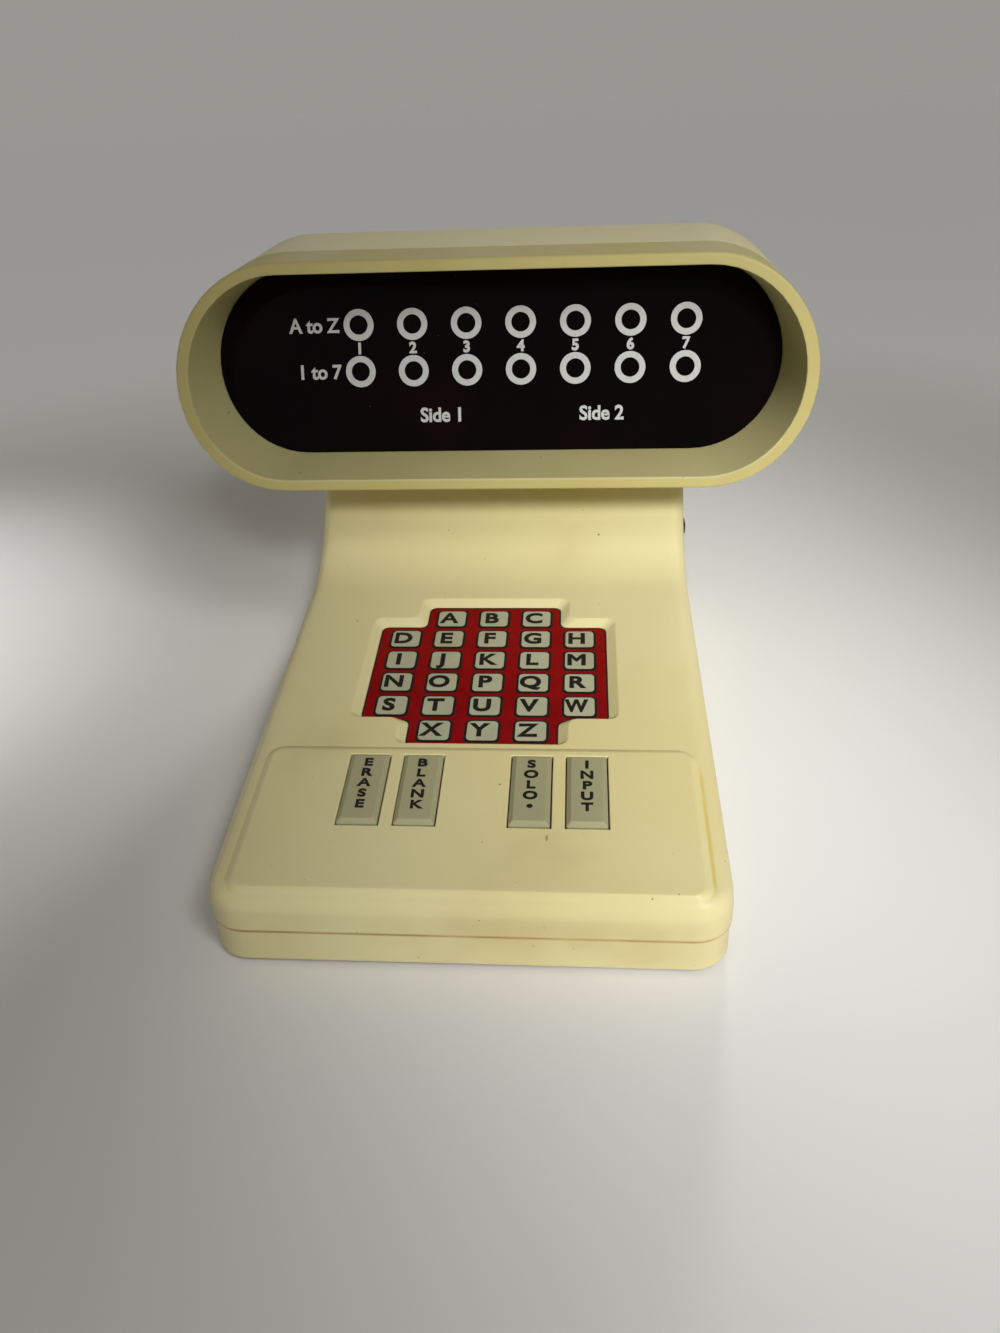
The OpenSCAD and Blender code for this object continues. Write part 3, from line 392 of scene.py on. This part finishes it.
class Finish:
    """A material under way: its shader, with textures added to it on the piece's own coordinates."""

    def __init__(self, name, color, roughness, **sockets):
        self.material = bpy.data.materials.new(name)
        self.material.use_nodes = True
        self.nodes = self.material.node_tree.nodes
        self.shader = self.nodes["Principled BSDF"]
        self.place = self.nodes.new("ShaderNodeTexCoord").outputs["Object"]
        self.color = None
        self.set("Base Color", (*color, 1))
        self.set("Roughness", roughness)
        for socket, value in sockets.items():
            self.set(socket.replace("_", " "), value)

    def set(self, socket, value):
        """Set one value of the shader."""
        self.shader.inputs[socket].default_value = value

    def link(self, source, target):
        """Lead an output to an input."""
        self.material.node_tree.links.new(source, target)

    def add(self, kind, **settings):
        """Add a node with its settings."""
        node = self.nodes.new(kind)
        for key, value in settings.items():
            setattr(node, key, value)
        return node

    def spread(self, stretch):
        """Coordinates drawn out along the axes."""
        mapping = self.add("ShaderNodeMapping")
        mapping.inputs["Scale"].default_value = stretch
        self.link(self.place, mapping.inputs["Vector"])
        return mapping.outputs["Vector"]

    def noise(self, per_metre, detail=2, stretch=(1, 1, 1)):
        """Cloudy pattern with a number of clouds in a metre."""
        texture = self.add("ShaderNodeTexNoise")
        texture.inputs["Scale"].default_value = per_metre
        texture.inputs["Detail"].default_value = detail
        self.link(self.spread(stretch), texture.inputs["Vector"])
        return texture.outputs["Fac"]

    def between(self, source, low, high, start=0, end=1):
        """A pattern brought from one span of values to another, eased at both ends."""
        span = self.add("ShaderNodeMapRange", interpolation_type="SMOOTHSTEP")
        ends = {"From Min": low, "From Max": high, "To Min": start, "To Max": end}
        for socket, value in ends.items():
            span.inputs[socket].default_value = value
        self.link(source, span.inputs["Value"])
        return span.outputs["Result"]

    def times(self, first, second):
        """Two patterns multiplied."""
        product = self.add("ShaderNodeMath", operation="MULTIPLY")
        self.link(first, product.inputs[0])
        self.link(second, product.inputs[1])
        return product.outputs["Value"]

    def tint(self, amount, color):
        """Lay a colour over what the material has so far, by a pattern."""
        mix = self.add("ShaderNodeMix", data_type="RGBA")
        self.link(amount, mix.inputs["Factor"])
        under, over = mix.inputs[6], mix.inputs[7]
        under.default_value = self.shader.inputs["Base Color"].default_value
        over.default_value = (*color, 1)
        if self.color:
            self.link(self.color, under)
        self.color = mix.outputs[2]
        self.link(self.color, self.shader.inputs["Base Color"])

    def rough(self, pattern, low, high):
        """Roughness that follows a pattern."""
        self.link(self.between(pattern, *CLOUD_SPAN, low, high), self.shader.inputs["Roughness"])

    def bump(self, pattern, depth):
        """Fine relief of a depth in metres."""
        relief = self.add("ShaderNodeBump")
        relief.inputs["Distance"].default_value = depth
        self.link(pattern, relief.inputs["Height"])
        self.link(relief.outputs["Normal"], self.shader.inputs["Normal"])

    def band(self, axis, low, high, soft):
        """A band between two places along an axis, with soft ends."""
        parts = self.add("ShaderNodeSeparateXYZ")
        self.link(self.place, parts.inputs["Vector"])
        return self.times(
            self.between(parts.outputs[axis], low - soft, low + soft),
            self.between(parts.outputs[axis], high + soft, high - soft))

    def specks(self, per_metre, size, share, stretch=(1, 1, 1)):
        """Scattered dots: in a share of the cells of a grid of points, each up to a size."""
        cells = self.add("ShaderNodeTexVoronoi")
        cells.inputs["Scale"].default_value = per_metre
        self.link(self.spread(stretch), cells.inputs["Vector"])
        chance = self.add("ShaderNodeSeparateColor")
        self.link(cells.outputs["Color"], chance.inputs["Color"])
        reach = size * per_metre
        near = self.between(cells.outputs["Distance"], reach, SPECK_MIDDLE * reach)
        there = self.between(chance.outputs["Red"], 1 - share, 1 + SPECK_CHANCE - share)
        return self.times(near, there)


def scaled(color, share):
    """A colour made darker or brighter by a share."""
    return tuple(share * part for part in color)


def aged_plastic(name, color, yellowed, roughness):
    """Satin moulded plastic that has yellowed in clouds, with grime specks, nicks and rub marks."""
    finish = Finish(name, color, roughness)
    finish.tint(finish.between(finish.noise(9, 3), 0.38, 0.72), yellowed)
    finish.tint(finish.between(finish.noise(30, 5), 0.58, 0.8, 0, 0.4), scaled(yellowed, 0.8))
    finish.tint(finish.specks(110, 0.5 * MM, 0.4), SPECK)
    finish.tint(finish.specks(230, 0.24 * MM, 0.35), FINE_SPECK)
    finish.tint(finish.specks(90, 0.45 * MM, 0.3, (1, 0.28, 1)), NICK)
    finish.rough(finish.noise(60, 4, (1, 0.35, 1)), roughness - 0.06, roughness + 0.1)
    finish.bump(finish.noise(1500, 2), 0.02 * MM)
    return finish


def case_plastic():
    """Cream plastic of the case, with browner patches low down, grime in its parting line, painted
    shade with grime along its foot and one yellow streak.
    """
    finish = aged_plastic("cream plastic", CREAM, CREAM_YELLOWED, 0.36)
    # Browner, darker patches in a band low on the case.
    patches = finish.between(finish.noise(26, 4), 0.42, 0.7, 0, 0.45)
    finish.tint(finish.times(finish.band("Z", *LOW_BAND, 4 * MM), patches), LOW_BAND_COLOR)
    grime = finish.band("Z", PARTING + SEAM_GRIME[0], PARTING + SEAM_GRIME[1], 0.3 * MM)
    grime = finish.times(grime, finish.between(finish.noise(40, 3), 0.3, 0.6, 0.35, 0.95))
    finish.tint(grime, SEAM_GRIME_COLOR)
    # Painted shade along the bottom edge of the case, with patches of grime in it.
    foot = finish.between(finish.noise(33, 3), 0.3, 0.6, 0.3, 0.9)
    foot = finish.times(finish.band("Z", *FOOT_SHADE_AND_GRIME, 0.6 * MM), foot)
    finish.tint(foot, FOOT_SHADE_AND_GRIME_COLOR)
    # A narrow, more saturated yellow streak along the right edge of the panel.
    streak = finish.times(finish.band("X", *STREAK_X, 0.4 * MM), finish.band("Y", *STREAK_Y, 3 * MM))
    streak = finish.times(streak, finish.band("Z", *STREAK_Z, 1 * MM))
    streak = finish.times(streak, finish.between(finish.noise(50, 3), 0.2, 0.6, 0.3, 0.9))
    finish.tint(streak, STREAK_COLOR)
    return finish.material


def dark_window():
    """Glossy filter, almost black with a red depth, smudged by fingers."""
    finish = Finish("dark window", WINDOW_BLACK, 0.08, Specular_IOR_Level=0.08)
    finish.tint(finish.between(finish.noise(22, 2), 0.4, 0.8), WINDOW_RED)
    finish.tint(finish.specks(170, 0.16 * MM, 0.5), WINDOW_DUST)
    finish.rough(finish.noise(45, 5), 0.05, 0.16)
    return finish.material


def printed_film(name, color, deep):
    """Printed polyester film: even colour with a faint mottle and a soft gloss."""
    finish = Finish(name, color, 0.32, Specular_IOR_Level=0.14)
    finish.tint(finish.between(finish.noise(110, 4), 0.4, 0.75), deep)
    finish.rough(finish.noise(70, 4), 0.27, 0.42)
    finish.bump(finish.noise(900, 2), 0.01 * MM)
    return finish.material


def ink(name, color):
    """Screen-printed ink with slight thin places."""
    finish = Finish(name, color, 0.45, Specular_IOR_Level=0.15)
    finish.tint(finish.between(finish.noise(600, 3), 0.55, 0.8, 0, 0.35), scaled(color, 0.6))
    return finish.material


def board():
    """Green circuit board with copper tracks showing through its coat."""
    finish = Finish("board", BOARD_GREEN, 0.35)
    tracks = finish.add("ShaderNodeTexBrick", offset=0.5)
    tracks.inputs["Scale"].default_value = 160
    tracks.inputs["Mortar Size"].default_value = 0.05
    finish.link(finish.place, tracks.inputs["Vector"])
    finish.tint(tracks.outputs["Fac"], BOARD_TRACK)
    finish.tint(finish.between(finish.noise(300, 2), 0.5, 0.8, 0, 0.5), BOARD_DEEP)
    return finish.material


def black_part(name, shade, roughness, per_metre, depth):
    """Black plastic or rubber with a fine grain."""
    finish = Finish(name, (shade, shade, shade), roughness)
    finish.tint(finish.between(finish.noise(90, 3), 0.4, 0.8, 0, 0.6), scaled(DUSTY, shade))
    finish.bump(finish.noise(per_metre, 3), depth)
    return finish.material


def sheet_film():
    """Milky film with silver tracks across it."""
    finish = Finish("sheet film", FILM_MILKY, 0.3)
    tracks = finish.add("ShaderNodeTexWave", bands_direction="X")
    tracks.inputs["Scale"].default_value = 125
    finish.link(finish.place, tracks.inputs["Vector"])
    finish.tint(finish.between(tracks.outputs["Fac"], 0.6, 0.75), FILM_TRACK)
    return finish.material


def metal(name, color, roughness):
    """Plated or painted steel with fine rubbing."""
    finish = Finish(name, color, roughness, Metallic=1.0)
    finish.rough(finish.noise(400, 4, (1, 1, 0.2)), roughness - 0.08, roughness + 0.12)
    finish.tint(finish.between(finish.noise(120, 3), 0.5, 0.8, 0, 0.4), scaled(color, 0.5))
    return finish.material


def clear_red():
    """Red lamp epoxy."""
    finish = Finish("lamp red", LAMP_RED, 0.12, Coat_Weight=0.5)
    finish.tint(finish.between(finish.noise(300, 2), 0.4, 0.8, 0, 0.5), LAMP_RED_DEEP)
    return finish.material


def lead_skin():
    """Flexible red insulation."""
    finish = Finish("lead skin", LEAD_RED, 0.4)
    finish.tint(finish.between(finish.noise(200, 2), 0.4, 0.8, 0, 0.5), LEAD_RED_DEEP)
    finish.bump(finish.noise(1200, 2), 0.02 * MM)
    return finish.material


FINISHES = {
    "cream_plastic": case_plastic(),
    # Bezel: darker than the cream, partly painted shade.
    "hood_plastic": aged_plastic("hood plastic with painted shade", HOOD, HOOD_YELLOWED, 0.38).material,
    "window_plastic": dark_window(),
    "keypad_red": printed_film("keypad red", KEYPAD_RED, KEYPAD_RED_DEEP),
    "film": sheet_film(),
    "button_plastic": aged_plastic("button plastic", BUTTON, BUTTON_YELLOWED, 0.4).material,
    "dark_rubber": black_part("dark rubber", 0.018, 0.75, 900, 0.05 * MM),
    "circuit_board": board(),
    "dark_plastic": black_part("dark plastic", 0.014, 0.42, 1400, 0.02 * MM),
    "lamp_red": clear_red(),
    "speaker_metal": metal("speaker metal", SPEAKER_STEEL, 0.45),
    "battery_case": metal("battery case", BATTERY_STEEL, 0.4),
    "lead_insulation": lead_skin(),
    "screw_steel": metal("screw steel", SCREW_STEEL, 0.32),
}
# Hood's inside walls: paler than the bezel, darker than the cream, partly painted shade.
HOOD_INSIDE = aged_plastic("hood inside with painted shade", LINING, LINING_YELLOWED, 0.42).material
KEY_FACE = printed_film("key face", KEY_PALE, KEY_PALE_DEEP)
BLACK_INK = ink("black ink", PRINT_BLACK)
PALE_INK = ink("pale ink", PRINT_PALE)


def dress_inner_nodes():
    """Give every CAD solid the finish of its material slot."""
    for node in frame["nodes"].values():
        slot = node.data.materials[0].name.split(".")[0]
        finished(node, FINISHES[slot])


# Lettering

def text_mesh(words, size, align):
    """Words as a thin closed mesh on the floor plane, with their baseline on the x axis."""
    text = started(bpy.ops.object.text_add).data
    text.body = words
    text.size = size
    text.align_x = align
    text.resolution_u = CURVE_STEPS
    text.extrude = INK / 2
    bpy.ops.object.convert(target="MESH")
    piece = bpy.context.object
    edit_all(piece)
    bpy.ops.mesh.remove_doubles(threshold=WELD)
    leave_edit()
    return piece


def thicken_strokes(piece, weight):
    """Push the outlines of a flat mesh outwards by a weight, and press it to the ink's thickness."""
    edit_all(piece)
    bpy.ops.transform.shrink_fatten(value=weight, use_even_offset=True)
    leave_edit()
    piece.data.transform(Matrix.Diagonal((1, 1, INK / (INK + 2 * weight), 1)))


def letter(words, place, height, stretch, bold, align="CENTER", widest=math.inf):
    """Words in ink on a face, with capitals of a height, centred in height on the placement."""
    weight = bold * height
    piece = text_mesh(words, (height - 2 * weight) / CAPITAL, align)
    sides = [vertex.co.x for vertex in piece.data.vertices]
    stretch = min(stretch, (widest - 2 * weight) / (max(sides) - min(sides)))
    piece.data.transform(Matrix.Diagonal((stretch, 1, 1, 1)))
    thicken_strokes(piece, weight)
    piece.data.transform(place @ Matrix.Translation((0, weight - height / 2, INK / 2)))
    return piece


probe = text_mesh("H", 1, "CENTER")
CAPITAL = probe.dimensions.y
bpy.data.objects.remove(probe)


# Case and head

def panel_out():
    """The way that the sloped panel faces, which is against the buttons' travel."""
    joint = next(joint for joint in frame["joints"] if joint["name"] == "clear_button_press")
    return -Vector(joint["axis"]).normalized()


def line_hood(piece):
    """Give the walls that face the middle of the head the hood's inside finish: paler than the bezel
    and, like it, darker than the cream, partly as painted shade.
    """
    piece.data.materials.append(HOOD_INSIDE)
    low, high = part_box("head_bezel")
    middle = (low + high) / 2
    straight = (high.x - low.x - (high.z - low.z)) / 2
    mesh = edit(piece)

    def looks_in(face):
        spot = face.calc_center_median()
        near = max(-straight, min(straight, spot.x - middle.x))
        outwards = Vector((spot.x - middle.x - near, 0, spot.z - middle.z)).normalized()
        return face.normal.dot(outwards) < BACKWARDS

    select_faces(piece, mesh, looks_in)
    paint(piece, 1)
    leave_edit()


def dress_mouldings():
    """Welded copies of the case's and the head's mouldings, with rounded rims on the panel."""
    for node, slot, crease in (
        ("lower_case", "cream_plastic", CREASE), ("upper_case", "cream_plastic", PANEL_CREASE),
        ("head_shell", "cream_plastic", CREASE), ("head_bezel", "hood_plastic", CREASE),
        ("display_lens", "window_plastic", CREASE),
    ):
        piece = merged_copy(node, node + "_moulding")
        if node == "upper_case":
            round_rims(piece, panel_out(), RECESS_EDGE)
        smooth(piece, crease)
        settle(finished(piece, FINISHES[slot]), "case", slot, node)
        if node == "head_bezel":
            line_hood(piece)


def lamp_places(node):
    """Middle of each lamp in a row, from the row's solids."""
    low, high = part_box(node)
    xs = sorted({vertex.co.x for vertex in frame["nodes"][node].data.vertices})
    gaps = [(a, b) for a, b in zip(xs, xs[1:]) if b - a > RING_OUTSIDE]
    starts = [xs[0]] + [b for a, b in gaps]
    ends = [a for a, b in gaps] + [xs[-1]]
    middle = (low + high) / 2
    return [Vector(((a + b) / 2, middle.y, middle.z)) for a, b in zip(starts, ends)]


def ink_ring():
    """A flat ring of ink at the origin."""
    ring = started(
        bpy.ops.mesh.primitive_circle_add, vertices=RING_SIDES, radius=RING_OUTSIDE, fill_type="NGON")
    edit_all(ring)
    bpy.ops.mesh.inset(thickness=RING_OUTSIDE - RING_INSIDE)
    bpy.ops.mesh.delete(type="FACE")
    leave_edit()
    apply_modifier(ring, "SOLIDIFY", thickness=INK, offset=1)
    return ring


def print_window():
    """Rings round the lamps, numbers between them and words beside them, printed on the window."""
    lens = bpy.data.objects["display_lens_moulding"]
    face = widest_face(lens, FRONT)
    out = face.normal.copy()

    def on_window(point):
        return point - out * (point - face.center).dot(out)

    upper = [on_window(point) for point in lamp_places("upper_leds")]
    lower = [on_window(point) for point in lamp_places("lower_leds")]
    pieces = copied_to(ink_ring(), [facing(point, out) for point in upper + lower])
    for number, (high, low) in enumerate(zip(upper, lower), 1):
        place = facing((high + low) / 2, out)
        pieces.append(letter(str(number), place, NUMBER_HEIGHT, 1, BOLD))
    for words, point in (("A to Z", upper[0]), ("1 to 7", lower[0])):
        place = facing(point - LABEL_GAP * ACROSS, out)
        pieces.append(letter(words, place, LABEL_HEIGHT, LABEL_STRETCH, MEDIUM, "RIGHT"))
    middle = lower[len(lower) // 2]
    down = -out.cross(ACROSS)
    for words, side in (("Side 1", -1), ("Side 2", 1)):
        place = facing(middle + side * SIDE_LABEL_OUT * ACROSS + SIDE_LABEL_DROP * down, out)
        pieces.append(letter(words, place, LABEL_HEIGHT, LABEL_STRETCH, MEDIUM))
    settle(finished(joined(pieces, "window_print"), PALE_INK), "case")


# Keypad

def key_face(width, length):
    """A thin plate with round corners, lying flat at the origin."""
    plate = started(bpy.ops.mesh.primitive_plane_add, size=1)
    plate.data.transform(Matrix.Diagonal((width, length, 1, 1)))
    edit_all(plate)
    bpy.ops.mesh.bevel(offset=KEY_CORNER, segments=KEY_CORNER_STEPS, affect="VERTICES")
    leave_edit()
    apply_modifier(plate, "SOLIDIFY", thickness=INK, offset=1)
    return plate


def dress_keypad():
    """Red film with a dark line round it and round every key, a pale face on each key and a letter."""
    out = panel_out()
    along = out.cross(ACROSS)
    sheet = merged_copy("keypad_overlay", "keypad_sheet")
    finished(sheet, FINISHES["keypad_red"], BLACK_INK)
    mesh = edit(sheet)
    level = max(vertex.co.dot(out) for vertex in mesh.verts)

    def is_key(face):
        return all(level - vertex.co.dot(out) < WELD for vertex in face.verts)

    tops = [face for face in mesh.faces if is_key(face)]
    keys = [face.calc_center_bounds() for face in tops]
    corners = [vertex.co - keys[0] for vertex in tops[0].verts]
    width = 2 * max(corner.dot(ACROSS) for corner in corners)
    length = 2 * max(corner.dot(along) for corner in corners)
    select_faces(sheet, mesh, lambda face: face.normal.dot(out) > AWAY)
    paint(sheet, 1)
    select_faces(sheet, mesh, lambda face: face.normal.dot(out) > ALONG and not is_key(face))
    bpy.ops.mesh.inset(thickness=SHEET_LINE)
    paint(sheet, 0)
    leave_edit()
    smooth(sheet)
    settle(sheet, "case", "keypad_red", "keypad_overlay")

    face = key_face(width - 2 * KEY_LINE, length - 2 * KEY_LINE)
    faces = copied_to(face, [facing(point, out) for point in keys])
    settle(finished(joined(faces, "key_faces"), KEY_FACE), "case")

    keys.sort(key=lambda point: (-round(point.dot(along) / KEY_ROW), point.x))
    right, up = KEY_LETTER_SHIFT
    shift = right * ACROSS + up * along + INK * out
    letters = [
        letter(chr(ord("A") + place), facing(point + shift, out),
               KEY_LETTER, KEY_LETTER_STRETCH, BOLD, widest=KEY_LETTER_WIDEST)
        for place, point in enumerate(keys)
    ]
    settle(finished(joined(letters, "key_letters"), BLACK_INK), "case")


# Buttons

def close_holes(piece):
    """Close a piece's open rims with faces."""
    edit_all(piece)
    bpy.ops.mesh.fill_holes(sides=0)
    leave_edit()


def middle_across(node):
    """The place of a solid's middle across the object."""
    low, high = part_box(node)
    return (low.x + high.x) / 2


def dress_mat():
    """Rubber mat under the buttons, with a dome for each button."""
    out = panel_out()
    mat = merged_copy("button_mat", "button_mat_sheet")
    mesh = edit(mat)
    low = min(vertex.co.dot(out) for vertex in mesh.verts)
    level = min(vertex.co.dot(out) for vertex in mesh.verts if vertex.co.dot(out) > low + WELD)
    select_faces(mat, mesh, lambda face: face.calc_center_median().dot(out) > level + WELD)
    bpy.ops.mesh.separate(type="SELECTED")
    leave_edit()
    domes = [piece for piece in bpy.context.selected_objects if piece != mat][0]
    close_holes(mat)
    settle(finished(mat, FINISHES["dark_rubber"]), "case", "dark_rubber", "button_mat")

    close_holes(domes)
    pick(domes)
    bpy.ops.mesh.separate(type="LOOSE")
    for dome in list(bpy.context.selected_objects):
        middle = sum((vertex.co for vertex in dome.data.vertices), Vector()) / len(dome.data.vertices)
        node = min(LEGENDS, key=lambda name: abs(middle_across(name) - middle.x))
        dome.name = node + "_dome"
        smooth(dome)
        settle(finished(dome, FINISHES["dark_rubber"]), "case", "dark_rubber")
        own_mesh(dome)


def dress_buttons():
    """Four long buttons with softened edges, each with its legend on top."""
    out = panel_out()
    along = out.cross(ACROSS)
    for node, legend in LEGENDS.items():
        button = merged_copy(node, node + "_cap")
        soften(button, BUTTON_EDGE, ROUND_STEPS)
        smooth(button)
        settle(finished(button, FINISHES["button_plastic"]), node, "button_plastic", node)
        tops = [face for face in button.data.polygons if face.normal.dot(out) > ALONG]
        top = max(tops, key=lambda face: face.center.dot(out))
        pieces = []
        for place, capital in enumerate(legend):
            rise = LEGEND_RISE + ((len(legend) - 1) / 2 - place) * LEGEND_PITCH
            point = top.center + rise * along
            pieces.append(letter(capital, facing(point, out), LEGEND_HEIGHT, LEGEND_STRETCH, HEAVY))
        settle(finished(joined(pieces, node + "_legend"), BLACK_INK), node)


# Small parts

def dress_small_parts():
    """Smooth copies of the knob, the battery door and the feet, with the knob's edges softened."""
    for node, body, slot, edge in (
        ("switch_knob", "switch_knob", "dark_plastic", SOFT_EDGE),
        ("battery_door", "battery_door", "cream_plastic", 0),
        ("rubber_feet", "case", "dark_rubber", 0),
    ):
        piece = merged_copy(node, node + "_moulding")
        if edge:
            soften(piece, edge)
        smooth(piece)
        settle(finished(piece, FINISHES[slot]), body, slot, node)


def cut_bars(piece, places, way, across):
    """Cut a slot into a screw head at each place, from the side that faces a way."""
    bars = []
    along = way.cross(across)
    for point in places:
        bar = started(bpy.ops.mesh.primitive_cube_add, size=1)
        size = Matrix.Diagonal((CROSS_LENGTH, CROSS_WIDTH, 2 * CROSS_DEPTH, 1))
        turn = Matrix((across, along, way)).transposed().to_4x4()
        bar.data.transform(Matrix.Translation(point) @ turn @ size)
        bars.append(bar)
    cutter = joined(bars, "cutter")
    apply_modifier(piece, "BOOLEAN", object=cutter, operation="DIFFERENCE", solver="EXACT")
    bpy.data.objects.remove(cutter)


def dress_screws():
    """Cross-head screws under the case and in the back of the head."""
    for node, way in (("case_screws", DOWN), ("head_screws", BACK)):
        piece = merged_copy(node, node + "_cross")
        level = max(vertex.co.dot(way) for vertex in piece.data.vertices)
        tops = [
            face.center.copy() for face in piece.data.polygons
            if face.normal.dot(way) > ALONG and level - face.center.dot(way) < WELD
        ]
        cut_bars(piece, tops, way, ACROSS)
        cut_bars(piece, tops, way, way.cross(ACROSS))
        soften(piece, SOFT_EDGE / 2)
        smooth(piece)
        settle(finished(piece, FINISHES["screw_steel"]), "case", "screw_steel", node)


# Stage

def hang_lamp(name, kind, watts, place, target, **settings):
    """Hang a lamp at a place, turned to a target."""
    lamp = bpy.data.lights.new(name, kind)
    lamp.energy = watts
    for key, value in settings.items():
        setattr(lamp, key, value)
    holder = bpy.data.objects.new(name, lamp)
    bpy.context.scene.collection.objects.link(holder)
    holder.location = place
    holder.rotation_euler = (Vector(target) - holder.location).to_track_quat("-Z", "Y").to_euler()
    return holder


def hang_spot(name, watts, place, target, cone, radius, mirrored):
    """Hang a lamp with a cone of light that fades to its edge, and that gloss mirrors or not."""
    holder = hang_lamp(
        name, "SPOT", watts, place, target,
        spot_size=math.radians(cone), spot_blend=1, shadow_soft_size=radius)
    holder.visible_glossy = mirrored


def seen_in_picture(tree):
    """One where the picture, a reflection or a view through something shows a surface, else nought."""
    path = tree.nodes.new("ShaderNodeLightPath")
    seen = path.outputs["Is Camera Ray"]
    for ray in ("Is Glossy Ray", "Is Transmission Ray"):
        either = tree.nodes.new("ShaderNodeMath")
        either.operation = "MAXIMUM"
        tree.links.new(seen, either.inputs[0])
        tree.links.new(path.outputs[ray], either.inputs[1])
        seen = either.outputs["Value"]
    return seen


def light_room():
    """Soft light from all round, brighter low down, in front of an even pale grey."""
    world = bpy.data.worlds.new("soft room")
    bpy.context.scene.world = world
    world.use_nodes = True
    tree = world.node_tree
    room = tree.nodes["Background"]
    backdrop = tree.nodes.new("ShaderNodeBackground")
    way = tree.nodes.new("ShaderNodeTexCoord")
    split = tree.nodes.new("ShaderNodeSeparateXYZ")
    span = tree.nodes.new("ShaderNodeMapRange")
    for socket, value in (("From Max", ROOM_RISE), ("To Min", ROOM_LOW), ("To Max", ROOM_HIGH)):
        span.inputs[socket].default_value = value
    tree.links.new(way.outputs["Generated"], split.inputs["Vector"])
    tree.links.new(split.outputs["Z"], span.inputs["Value"])
    tree.links.new(span.outputs["Result"], room.inputs["Strength"])
    room.inputs["Color"].default_value = ROOM_COLOR
    backdrop.inputs["Strength"].default_value = BACKGROUND
    backdrop.inputs["Color"].default_value = BACKGROUND_COLOR
    choose = tree.nodes.new("ShaderNodeMixShader")
    tree.links.new(seen_in_picture(tree), choose.inputs["Fac"])
    tree.links.new(room.outputs["Background"], choose.inputs[1])
    tree.links.new(backdrop.outputs["Background"], choose.inputs[2])
    tree.links.new(choose.outputs["Shader"], tree.nodes["World Output"].inputs["Surface"])


def lay_floor():
    """Plain pale floor, which glows a little in the picture away from the object."""
    floor = started(
        bpy.ops.mesh.primitive_circle_add, vertices=FLOOR_SIDES, radius=FLOOR_RADIUS, fill_type="NGON")
    floor.name = "floor"
    finish = Finish("pale floor", FLOOR_PALE, 0.55)
    finish.tint(finish.between(finish.noise(5, 3), 0.4, 0.8, 0, 0.5), FLOOR_CLOUD)
    away = finish.add("ShaderNodeVectorMath", operation="LENGTH")
    finish.link(finish.place, away.inputs[0])
    glow = finish.times(
        seen_in_picture(finish.material.node_tree),
        finish.between(away.outputs["Value"], *GLOW_REACH, 0, FLOOR_GLOW))
    finish.link(glow, finish.shader.inputs["Emission Strength"])
    finished(floor, finish.material)


def place_camera():
    """Camera where the photograph was taken from."""
    camera = bpy.data.cameras.new("camera")
    camera.sensor_fit = "VERTICAL"
    camera.sensor_height = SENSOR_HEIGHT
    camera.lens = SENSOR_HEIGHT * FOCAL_PIXELS / PICTURE_HEIGHT
    camera.clip_start = NEAREST
    holder = bpy.data.objects.new("camera", camera)
    bpy.context.scene.collection.objects.link(holder)
    holder.matrix_world = (
        Matrix.Translation(CAMERA_PLACE)
        @ Matrix.Rotation(math.radians(CAMERA_YAW), 4, "Z")
        @ Matrix.Rotation(math.radians(90 - CAMERA_PITCH), 4, "X")
        @ Matrix.Rotation(-math.radians(CAMERA_ROLL), 4, "Z"))
    bpy.context.scene.camera = holder


dress_inner_nodes()
dress_mouldings()
print_window()
dress_keypad()
dress_mat()
dress_buttons()
dress_small_parts()
dress_screws()
light_room()
hang_lamp("high lamp", "AREA", HIGH_WATTS, HIGH_PLACE, HIGH_TARGET, size=HIGH_SIZE)
hang_spot("window lamp", WINDOW_WATTS, WINDOW_PLACE, WINDOW_TARGET, WINDOW_CONE, WINDOW_RADIUS, False)
hang_spot("side lamp", SIDE_WATTS, SIDE_PLACE, SIDE_TARGET, SIDE_CONE, SIDE_RADIUS, True)
hang_spot("rear lamp", REAR_WATTS, REAR_PLACE, REAR_TARGET, REAR_CONE, REAR_RADIUS, False)
lay_floor()
place_camera()
bpy.context.scene.view_settings.view_transform = "Standard"
